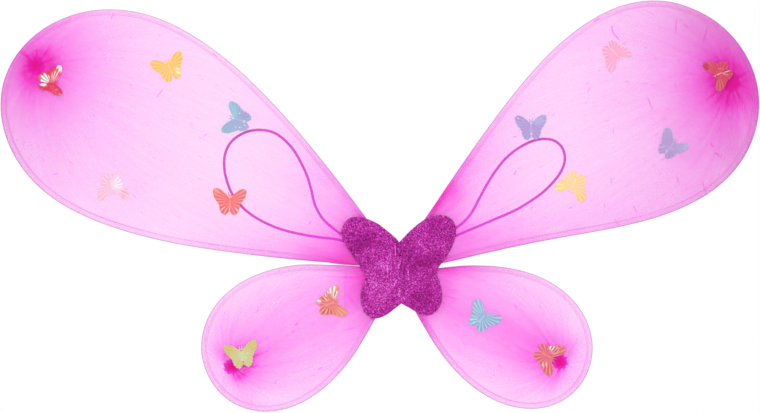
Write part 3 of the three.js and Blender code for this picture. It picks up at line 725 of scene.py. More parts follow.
# radiating folds at each knot: direction (degrees), from, to (mm), half width (mm), strength
FOLDS = {
    "upper_left": [(136, 3, 21, 0.6, 1.35), (85, 3, 17, 0.65, 0.9), (53, 3, 29, 0.55, 0.8), (24, 3, 22, 0.6, 0.4),
                   (180, 3, 16, 0.6, 0.45), (212, 3, 25, 0.6, 0.7), (249, 3, 21, 0.65, 0.7), (108, 3, 14, 0.6, 0.45),
                   (290, 3, 18, 0.6, 0.35), (-35, 3, 14, 0.6, 0.35), (160, 3, 12, 0.6, 0.45), (38, 6, 22, 0.5, 0.3)],
    "upper_right": [(120, 4, 30, 0.8, 0.75), (75, 4, 20, 0.8, 0.6), (30, 4, 20, 0.8, 0.6), (-20, 4, 20, 0.9, 0.6),
                    (-60, 4, 26, 0.8, 0.75), (-100, 4, 32, 0.8, 0.75), (215, 4, 32, 0.8, 0.55), (170, 4, 30, 0.8, 0.5),
                    (143, 4, 34, 0.7, 0.5), (-125, 4, 30, 0.7, 0.5), (192, 5, 30, 0.7, 0.4), (-80, 5, 28, 0.7, 0.4),
                    (98, 4, 24, 0.7, 0.5)],
    "lower_left": [(-34, 4, 21, 0.55, 1.0), (-52, 4, 17, 0.6, 0.9), (1, 4, 27, 0.55, 1.1), (24, 14, 42, 0.6, 0.75),
                   (197, 3, 11, 0.7, 0.7), (72, 8, 24, 0.8, 0.35), (140, 3, 10, 0.8, 0.6), (225, 3, 10, 0.8, 0.7),
                   (-75, 4, 13, 0.7, 0.6), (160, 3, 12, 0.6, 0.5)],
    "lower_right": [(123, 5, 26, 0.65, 1.1), (35, 3, 11, 0.7, 0.8), (-102, 3, 13, 0.8, 1.0), (167, 4, 20, 0.8, 0.4),
                    (66, 3, 13, 0.7, 0.7), (-20, 3, 10, 0.8, 0.5), (-60, 3, 12, 0.7, 0.6), (-140, 3, 13, 0.7, 0.5),
                    (95, 3, 12, 0.7, 0.5)]}
CORE = {"upper_left": (3.8, 4.2), "upper_right": (6.8, 6.0), "lower_left": (2.7, 2.0), "lower_right": (3.5, 2.4)}


def fold_depth(wing, p):
    k = np.array(KNOTS[wing])
    d = p - k
    r = np.linalg.norm(d, axis=1)
    a = np.arctan2(d[:, 1], d[:, 0])
    out = np.zeros(len(p))
    for deg, r0, r1, w, strength in FOLDS[wing]:
        off = (a - math.radians(deg) + math.pi) % (2 * math.pi) - math.pi
        side = np.abs(r * np.sin(np.clip(off, -1.5, 1.5)))
        w_r = w * (1.35 - 0.6 * r / r1)
        line = np.exp(-(side / np.maximum(w_r, 0.25)) ** 2) * (np.abs(off) < 1.2)
        out += strength * line * smooth(r0 - 3, r0 + 1, r) * (1 - smooth(r1 * 0.45, r1, r))
    core_r, soft = CORE[wing]
    star = core_r + 1.1 * np.sin(5 * a + 1.0 + k[0]) + 0.7 * np.sin(9 * a + k[1]) + 0.5 * np.sin(16 * a + 2)
    out += 2.4 * (1 - smooth(star - soft * 0.5, star + soft * 0.5, r))
    return out


def painted_shade_of(wing, p):
    """Painted shade: where the knit is darkened and greyed to stand for shade, on the upper right wing's outer side and
    by its root, and at the upper left wing's far end.
    """
    if wing == "upper_right":
        return (0.30 * smooth(150, 330, p[:, 0])
                + 0.18 * smooth(175, 225, p[:, 1]) * smooth(215, 275, p[:, 0])
                + 0.14 * smooth(140, 110, p[:, 1]) * smooth(265, 315, p[:, 0])
                + 0.34 * smooth(36, 16, p[:, 0]))
    if wing == "upper_left":
        return 0.10 * smooth(-270, -330, p[:, 0]) + 0.12 * smooth(-322, -356, p[:, 0])
    return np.zeros(len(p))


def depth_of(wing, p, e):
    g = np.clip(cover_of(wing, p, e), 0, 0.985)
    a = np.clip(g / (1 - 0.13 * (1 - g)), 0, 0.985)
    return -np.log(1 - a) / 2 + fold_depth(wing, p)


made = {}
RIM_ROWS = (0.9, 1.8, 2.3, 2.75, 3.2, 3.9, 5.4, 7.4)


def build_sleeve(wing):
    side = -1 if wing.endswith("left") else 1
    path = wing_path(wing, 2.4)
    # open line from one strand to the other at the root tie
    out = path[:, 0] * side > 12.0
    start = next(i for i in range(len(path)) if out[i] and not out[i - 1])
    idx = [(start + i) % len(path) for i in range(len(path))]
    idx = [i for i in idx if out[i]]
    line = path[idx]
    n = len(line)
    tan = np.gradient(line, axis=0)
    tan /= np.linalg.norm(tan, axis=1)[:, None]
    nrm = np.stack([tan[:, 1], -tan[:, 0]], 1)
    mid = np.array(MID[wing], float)
    if ((line[n // 2] - mid) @ nrm[n // 2]) < 0:
        nrm = -nrm
    k = np.array(KNOTS[wing])
    lo, hi = line.min(0), line.max(0)
    inner = [hexgrid(lo, hi, 4.6, 0.5)]
    for e in RIM_ROWS:
        inner.append(line - nrm * e)
    rings = np.concatenate([np.arange(1.2, 10, 0.9), np.arange(10.4, 20, 1.3), np.arange(21, 44, 2.2)])
    for j, r in enumerate(rings):
        m = 120 if r > 4 else 48
        a = np.linspace(0, 2 * math.pi, m, endpoint=False) + (j % 2) * math.pi / m
        inner.append(np.stack([k[0] + r * np.cos(a), k[1] + r * np.sin(a)], 1))
    inner[0] = inner[0][np.linalg.norm(inner[0] - k, axis=1) > 45]
    closed_line = np.concatenate([line, line[:1]])
    seen = []
    for j, pts in enumerate(inner):
        pts = pts[inside(pts, line)]
        d = nearest(pts, closed_line)
        limit = 8.6 if j == 0 else (RIM_ROWS[j - 1] * 0.94 if j <= len(RIM_ROWS) else 8.0)
        seen.append(pts[d > limit])
    pts = np.concatenate(seen + [k[None, :]])
    v2, f2 = fill(line, pts)
    e2 = nearest(v2, line)
    # the straight cut at the root isn't an edge on the wire
    dk = np.linalg.norm(v2 - k, axis=1)
    t = fabric_half(e2, dk)
    ym = fabric_mid(dk)
    depth2 = depth_of(wing, v2, e2)
    # the two layers meet just inside the wire: a faint line of denser knit, greyed with painted shade of the wire's
    # inner edge
    axis = (k - np.array(ROOTS[wing])) / np.linalg.norm(k - np.array(ROOTS[wing]))
    low = smooth(-10, 10, -side * ((v2 - k) @ np.array([-axis[1], axis[0]])))
    along = (0.72 + 0.30 * np.sin(v2[:, 0] * 0.045 + 1) * np.sin(v2[:, 1] * 0.052 - 1)) * (1 + 0.6 * low)
    meet = np.exp(-((e2 - 2.75) / 0.42) ** 2)
    depth2 = depth2 + 0.03 * meet
    # match the boundary's vertices to the line
    key = {(round(float(q[0]), 3), round(float(q[1]), 3)): i for i, q in enumerate(v2)}
    border = [key.get((round(float(q[0]), 3), round(float(q[1]), 3)), -1) for q in line]
    if min(border) < 0:
        border = [int(np.argmin(np.linalg.norm(v2 - q, axis=1))) for q in line]
    nv = len(v2)
    front = np.stack([v2[:, 0], ym - t, v2[:, 1]], 1)
    back = np.stack([v2[:, 0], ym + t, v2[:, 1]], 1)
    verts = [front, back]
    faces = [list(f) for f in f2] + [[f[2] + nv, f[1] + nv, f[0] + nv] for f in f2]
    # round the wire: a half circle from the front layer to the back one
    steps = 10
    rows = [border]
    count = 2 * nv
    slack = np.zeros(n)
    if wing.endswith("left"):
        near = smooth(-68, -49, line[:, 0])
        facing = nrm[:, 1] < 0 if wing == "upper_left" else nrm[:, 1] > 0
        slack = SLACK[wing] * near * facing
    slack = slack + LOOSE.get(wing, 0.0) * smooth(0.35, 0.9, nrm[:, 0] * side)
    depth = [depth2, depth2]
    edge = [0.32 * meet * along, 0.32 * meet * along]
    plan = [v2, v2]
    db = depth2[border]
    for j in range(1, steps):
        a = math.pi * j / steps
        ring = np.stack([line[:, 0] + nrm[:, 0] * (RIM + slack) * math.sin(a),
                         np.full(n, WIRE_Y - RIM * math.cos(a)),
                         line[:, 1] + nrm[:, 1] * (RIM + slack) * math.sin(a)], 1)
        verts.append(ring)
        rows.append(list(range(count, count + n)))
        count += n
        depth.append(db)
        # highest at the wire's outer side, seen edge-on: there the edge value thickens the knit and greys it with
        # painted shade
        edge.append(np.full(n, max(0.0, 1 - abs(math.pi / 2 - a) / 0.80)))
        plan.append(line + nrm * (RIM * a))
    rows.append([b + nv for b in border])
    for a, b in zip(rows[:-1], rows[1:]):
        for i in range(n - 1):
            faces.append([a[i], a[i + 1], b[i + 1], b[i]])
    verts = np.concatenate(verts)
    o = mesh_object("sleeve_nylon_" + wing, verts, faces, [nylon_material(wing)],
                    uv={"plan": np.concatenate(plan) / 100.0},
                    attrs={"depth": np.concatenate(depth), "edge": np.concatenate(edge),
                           "shade": painted_shade_of(wing, np.concatenate(plan))})
    me = o.data
    # faces of the rim look outwards
    import bmesh
    bm = bmesh.new()
    bm.from_mesh(me)
    bmesh.ops.recalc_face_normals(bm, faces=bm.faces)
    bm.to_mesh(me)
    bm.free()
    panel = 0.5 * abs(np.dot(line[:, 0], np.roll(line[:, 1], 1)) - np.dot(line[:, 1], np.roll(line[:, 0], 1)))
    made[wing] = {"line": line, "panel": panel * 1e-6, "size": (hi - lo) * MM}
    return o


for wing in WINGS:
    side = -1 if wing.endswith("left") else 1
    a, b = "centre", "wing_" + wing
    s, e = (HINGE[wing] - side * BEND) * MM, (HINGE[wing] + side * BEND) * MM
    # smooth coated wire, one turn
    path = wing_path(wing, 2.2)
    p3 = np.stack([path[:, 0], np.full(len(path), WIRE_Y), path[:, 1]], 1)
    v, f, fuv = tube_data(p3, 2.0, 14, closed=True)
    wire = mesh_object("wire_" + wing, v, f, [MAT["wire"]], uv={"braid": fuv})
    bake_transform(wire)
    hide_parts("frame_wire_" + wing, "stem_wire_" + wing)
    sleeve = build_sleeve(wing)
    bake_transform(sleeve)
    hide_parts("sleeve_" + wing, "sleeve_neck_" + wing)
    w, h = made[wing]["size"]

# ---------------------------------------------------------------- tip knots
for wing in WINGS:
    kx, kz = KNOTS[wing]
    ph = kx * 0.37
    prof = [(8.0, -5.28), (6.2, -5.22), (4.4, -5.05), (3.0, -4.75), (2.1, -4.3), (1.75, -3.9), (1.9, -3.45), (2.7, -3.0),
            (3.9, -2.5), (4.8, -1.7), (5.4, -0.7), (5.7, 0.3), (5.5, 0.55), (5.0, 0.2), (4.2, -0.9), (3.0, -1.6),
            (1.6, -2.0), (0.0, -2.1)]
    m = 96
    verts, faces, fuv = [], [], []
    for j, (r, y) in enumerate(prof):
        pleat = 0.14 if j < 4 else (0.05 if j < 7 else 0.10 + 0.03 * min(j - 6, 5))
        for i in range(m):
            a = 2 * math.pi * i / m
            w = (math.sin(9 * a + ph) + 0.6 * math.sin(14 * a + 2 * ph) + 0.35 * math.sin(5 * a - ph)) / 1.6
            rr = r * (1 + pleat * w) * (0.85 if wing.startswith("lower") and (j < 3 or j > 8) else 1.0)
            yy = y + (0.55 * math.sin(6 * a + ph) * (j > 8) * min(1, (j - 8) / 3) if j < 15 else 0.0)
            verts.append((kx + rr * math.cos(a), yy, kz + rr * math.sin(a)))
    for j in range(len(prof) - 1):
        for i in range(m):
            k2 = (i + 1) % m
            faces.append([j * m + i, j * m + k2, (j + 1) * m + k2, (j + 1) * m + i])
            fuv += [(i / m, j), ((i + 1) / m, j), ((i + 1) / m, j + 1), (i / m, j + 1)]
    knot = mesh_object("tip_gather_" + wing, verts, faces, [MAT["gathered"]], uv={"braid": fuv})
    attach(knot, "wing_" + wing)
    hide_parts("tip_knot_" + wing)
    # thread: four and a bit turns and one cut tail
    turns = 4.4
    t = np.linspace(0, 1, 160)
    ang = t * turns * 2 * math.pi + ph
    coil = np.stack([kx + 2.12 * np.cos(ang), -4.35 + 0.95 * t, kz + 2.12 * np.sin(ang)], 1)
    tail = []
    for q in range(14):
        f_ = q / 13
        tail.append((coil[-1][0] + 2.6 * f_ * math.cos(ang[-1] + 1.3), coil[-1][1] + 1.9 * f_,
                     coil[-1][2] - 5.5 * f_ ** 1.3))
    line = np.concatenate([coil, np.array(tail)[1:]])
    v, f, fuv = tube_data(line, 0.27, 6)
    tie = mesh_object("tip_thread_" + wing, v, f, [MAT["thread"]], uv={"braid": fuv})
    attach(tie, "wing_" + wing)
    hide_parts("tip_tie_" + wing)

# ------------------------------------------------------------ shoulder loops
for name, pts in STRAP.items():
    line = catmull(pts, step=1.0)
    s = np.linspace(0, 1, len(line))
    y = -3.1 + 3.6 * np.sin(math.pi * s) ** 2 * smooth(0.08, 0.3, s) * smooth(0.92, 0.7, s)
    p3 = np.stack([line[:, 0], y, line[:, 1]], 1)
    v, f, fuv = tube_data(p3, 1.2, 12)
    o = mesh_object("strap_" + name, v, f, [MAT["cord"]], uv={"braid": fuv})
    side = -1 if name == "left" else 1
    h = HINGE["upper_" + name]
    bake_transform(o)
    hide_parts("shoulder_loop_" + name)

for name, (x, z) in {"left_upper": (-18.7, 27.2), "left_lower": (-19.8, 19.4),
                     "right_upper": (18.7, 28.8), "right_lower": (19.8, 21.2)}.items():
    t = np.linspace(0, 2 * math.pi, 90, endpoint=False)
    tre = np.stack([np.sin(t) + 2 * np.sin(2 * t), -np.sin(3 * t) * 0.75, np.cos(t) - 2 * np.cos(2 * t)], 1) * 0.62
    tre = tre + np.array([x, -3.1, z])
    v, f, fuv = tube_data(tre, 0.72, 8, closed=True, up=(0.3, 1, 0.2))
    o = mesh_object("cord_end_knot_" + name, v, f, [MAT["cord"]], uv={"braid": fuv})
    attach(o, "centre")
    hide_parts("cord_knot_" + name)

# ------------------------------------------------------------------ patches
outline = []
for a, b in ((9, 30), (30, 9)):
    part = PATCH[a:b + 1] if b > a else PATCH[a:] + PATCH[:b + 1]
    outline.append(catmull(part, step=1.0)[:-1])
outline = np.concatenate(outline)
closed_outline = np.concatenate([outline, outline[:1]])


# x, z, half width, half height, turn, height: soft ridges of the glitter cloth
RIDGES = [(-4.2, 20, 0.8, 7, 0, 0.5), (-11, 0, 0.9, 6, 2, 0.35), (0.2, 7, 0.9, 7, -3, 0.4), (6.8, 0, 0.8, 7, 0, 0.45),
          (-5.3, -15, 0.9, 6, 3, 0.35), (3.5, -10, 0.8, 8, -6, 0.3), (-8, 10, 0.9, 6, 8, 0.25), (9, 14, 0.9, 8, -18, 0.25),
          (20, 24, 1.1, 7, 55, 0.25), (27, 17, 2.6, 15, -72, -0.35), (-14, -9, 1.0, 7, 24, 0.25), (13, -17, 1.0, 8, -20, 0.25),
          (-18, 30, 1.2, 7, 48, 0.2), (-30, 28, 5, 9, 50, -0.25), (30, 38, 4, 9, -50, 0.2)]
# creases near the middle: x, z, half width, half height, turn, depth of tone: painted highlight along the crease where
# above 0, painted shade beside it where below 0; a little of it also raises the relief
CREASE_RELIEF_AND_LIGHT = [(-4.2, 20.8, 0.55, 5.0, 1, 2.6), (-3.0, 21.5, 0.6, 6.0, 1, -1.6), (-11.2, 3.5, 0.6, 6.5, 2, 1.5), (-10.0, 2, 0.6, 6, 2, -0.9),
           (-0.6, 6.5, 0.6, 5.5, -10, 1.8), (1.0, 7.5, 0.8, 6.5, -12, -1.4), (7.4, 0.5, 0.55, 4.5, 0, 2.0), (8.6, 0.0, 0.6, 5.0, 0, -1.0),
           (-4.8, -12, 0.6, 5.0, 3, 1.1), (-6.4, 8.0, 0.7, 6.0, 6, -1.2), (-0.8, -19, 0.7, 6.0, 0, 1.0), (3.0, -14, 0.9, 6.0, -8, -0.9),
           (14.0, 19.0, 0.6, 5.0, -32, 0.8), (20.0, 24.5, 0.7, 6.0, 52, 0.9), (9.5, 15.0, 0.8, 5.0, -24, -1.0), (-8.6, -2.5, 0.6, 5.0, 4, 0.9),
           (4.0, 2.0, 0.7, 6.0, -4, -0.9), (-17, 6, 0.7, 4, 14, 0.5), (12, -10, 0.7, 5, -16, 0.6), (0.4, 18, 0.7, 5, -5, -0.9)]
# broad lighter and darker areas: painted sheen and shade of the cloth's undulations; x, z, half width, half height,
# turn, painted brightness
SHEEN_AND_SHADE_PATCHES = [(-34, 27, 11, 7, 30, -1.0), (-20, -15, 13, 14, 0, 0.85), (-30, 42, 12, 5, -10, 0.35), (24, 11, 17, 5, 20, -0.9),
         (21, -24, 12, 11, 0, -0.65), (-12, 10, 9, 8, 0, 0.55), (22, 30, 10, 7, 15, 0.25), (3, -18, 5, 8, 0, 0.55),
         (44, 40, 6, 7, 0, -0.4), (2, 20, 5, 8, 0, -0.35), (-1, 5, 6, 8, 0, 0.15), (36, 22, 7, 5, 30, 0.35)]


def build_patch(name, front, node):
    grid = hexgrid(outline.min(0), outline.max(0), 1.5)
    mid = (np.abs(grid[:, 0]) < 24) & (grid[:, 1] < 30)
    dense = hexgrid((-24.0, -30.0), (24.0, 30.0), 0.75)
    grid = np.concatenate([grid[~mid], dense])
    grid = grid[inside(grid, outline)]
    grid = grid[nearest(grid, closed_outline) > 1.6]
    tan = np.roll(outline, -1, 0) - np.roll(outline, 1, 0)
    tan /= np.linalg.norm(tan, axis=1)[:, None]
    nrm = np.stack([tan[:, 1], -tan[:, 0]], 1)
    if not inside((outline[20] - nrm[20] * 0.5)[None, :], outline)[0]:
        nrm = -nrm
    ring = [q for e in (0.35, 0.9) for q in outline - nrm * e]
    ring = np.array(ring)
    ring = ring[inside(ring, outline)]
    ring = ring[nearest(ring, closed_outline) > 0.3]
    v2, f2 = fill(outline, np.concatenate([grid, ring]))
    e = nearest(v2, closed_outline)
    relief = sum(h * blob(v2, x, z, rx, rz, d) for x, z, rx, rz, d, h in RIDGES)
    lump = sum(0.1 * math.sin(1 + i) * blob(v2, rng.uniform(-45, 45), rng.uniform(-38, 48), 6, 6) for i in range(26))
    painted_light_and_mottle = sum(h * blob(v2, x, z, rx, rz, d) for x, z, rx, rz, d, h in SHEEN_AND_SHADE_PATCHES)
    crease_relief_and_light = sum(h * blob(v2, x, z, rx, rz, d) for x, z, rx, rz, d, h in CREASE_RELIEF_AND_LIGHT)
    # painted highlight and shade along the creases, and a little real relief below
    painted_light_and_mottle = painted_light_and_mottle + 1.25 * crease_relief_and_light
    relief = relief + 0.16 * crease_relief_and_light
    edge_round = 0.55 * (1 - np.exp(-e / 0.6))
    centre = np.exp(-(v2[:, 0] / 13) ** 2) * smooth(-30, -8, v2[:, 1]) * smooth(32, 14, v2[:, 1])
    if front:
        outer = -10.75 - edge_round - (0.42 * centre + 0.8 * relief + lump) * smooth(0, 4, e)
        inner = -10.05 - 0.12 * centre
        tone_b = painted_light_and_mottle
    else:
        # the back patch: the painted sheen and shade, weaker, plus random lighter and darker mottle
        painted_light_and_mottle = painted_light_and_mottle * 0.6 + sum(0.5 * math.sin(3 * i) * blob(v2, rng.uniform(-45, 45), rng.uniform(-38, 48), 9, 7) for i in range(14))
        outer = -0.55 + edge_round + np.minimum((0.25 * relief + 0.5 * lump) * smooth(0, 4, e), 0.0)
        inner = np.full(len(v2), -1.5)
    key = {(round(float(q[0]), 3), round(float(q[1]), 3)): i for i, q in enumerate(v2)}
    border = [key.get((round(float(q[0]), 3), round(float(q[1]), 3)), -1) for q in outline]
    if min(border) < 0:
        border = [int(np.argmin(np.linalg.norm(v2 - q, axis=1))) for q in outline]
    nv = len(v2)
    verts = np.concatenate([np.stack([v2[:, 0], np.broadcast_to(outer, nv), v2[:, 1]], 1),
                            np.stack([v2[:, 0], np.broadcast_to(inner, nv), v2[:, 1]], 1)])
    faces = [list(f) for f in f2] + [[f[2] + nv, f[1] + nv, f[0] + nv] for f in f2]
    n = len(border)
    for i in range(n):
        j = (i + 1) % n
        faces.append([border[i], border[j], border[j] + nv, border[i] + nv])
    # painted light: the inner faces, which look at each other across the shaded gap between the patches, are made much
    # lighter except near the outline
    gap_painted_light = 3.0 * smooth(0.8, 2.5, e) - 0.3
    o = mesh_object(name, verts, faces, [MAT["glitter"]],
                    uv={"plan": np.concatenate([v2, v2 + (211.0, 97.0)]) / 100.0 + (0 if front else 3.3)},
                    attrs={"painted_light_and_mottle": np.concatenate([painted_light_and_mottle, gap_painted_light])})
    import bmesh
    bm = bmesh.new()
    bm.from_mesh(o.data)
    bmesh.ops.recalc_face_normals(bm, faces=bm.faces)
    bm.to_mesh(o.data)
    bm.free()
    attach(o, "centre")
    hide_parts(node)
    return o


build_patch("glitter_patch_front", True, "front_patch")
build_patch("glitter_patch_back", False, "back_patch")

# ------------------------------------------------------------------ sequins
HALF = [
    [1.9, 5.0], [4.0, 6.9], [7.6, 9.7], [11.2, 11.1], [13.9, 10.9], [15.0, 9.0],
    [14.6, 5.4], [12.6, 1.4], [10.2, -1.6], [9.2, -4.0], [8.9, -6.6], [7.4, -9.6], [5.4, -11.5],
    [3.2, -11.6], [1.5, -10.0], [0.0, -8.2]]
FEELER = [[0.0, 5.2], [0.35, 5.5], [1.25, 7.9], [1.75, 7.8], [1.25, 5.6]]


def sequin_outline():
    c = catmull(HALF, step=0.6)
    tan = np.gradient(c, axis=0)
    tan /= np.linalg.norm(tan, axis=1)[:, None]
    n = np.stack([-tan[:, 1], tan[:, 0]], 1)
    s = np.linspace(0, length_of(c), len(c))
    hind = smooth(0, -3, c[:, 1]) * smooth(2.0, 4.5, c[:, 0])
    c = c + n * (0.28 * np.sin(2 * math.pi * s / 3.1) * hind)[:, None]
    right = np.concatenate([np.array(FEELER), c])
    left = right[1:-1][::-1] * [-1, 1]
    return np.concatenate([right, left])


S_OUT = sequin_outline()


def circle(x, z, r, n=12):
    a = np.linspace(0, 2 * math.pi, n, endpoint=False)
    return np.stack([x + r * np.cos(a), z + r * np.sin(a)], 1)


def veins(u, v):
    """Height of the embossed veins, 0 to 1, and which wing a point is in."""
    au = np.abs(u)
    fore = smooth(-0.4, 0.6, v - (-1.0 + 0.16 * au))
    # forewing: a fan from the shoulder
    r1 = np.hypot(au + 1.5, v - 1.0)
    t1 = np.arctan2(v - 1.0, au + 1.5)
    f1 = np.cos(t1 * 13.5 - 0.5 - 0.04 * r1) ** 2
    w1 = f1 ** 2.5 * smooth(2.5, 5.5, r1)
    # hindwing: a fan from the hip
    r2 = np.hypot(au + 0.8, v + 0.2)
    t2 = np.arctan2(v + 0.2, au + 0.8)
    f2 = np.cos(t2 * 9.0 + 0.4) ** 2
    w2 = f2 ** 3 * smooth(2.0, 4.5, r2)
    ridge = fore * w1 + (1 - fore) * w2
    groove = np.exp(-((v - (-1.0 + 0.16 * au)) / 0.55) ** 2) * smooth(2.5, 4.5, au)
    body = np.exp(-(u / 0.95) ** 2) * smooth(-7.6, -6.0, v) * smooth(5.4, 4.2, v)
    return ridge, groove, body, fore
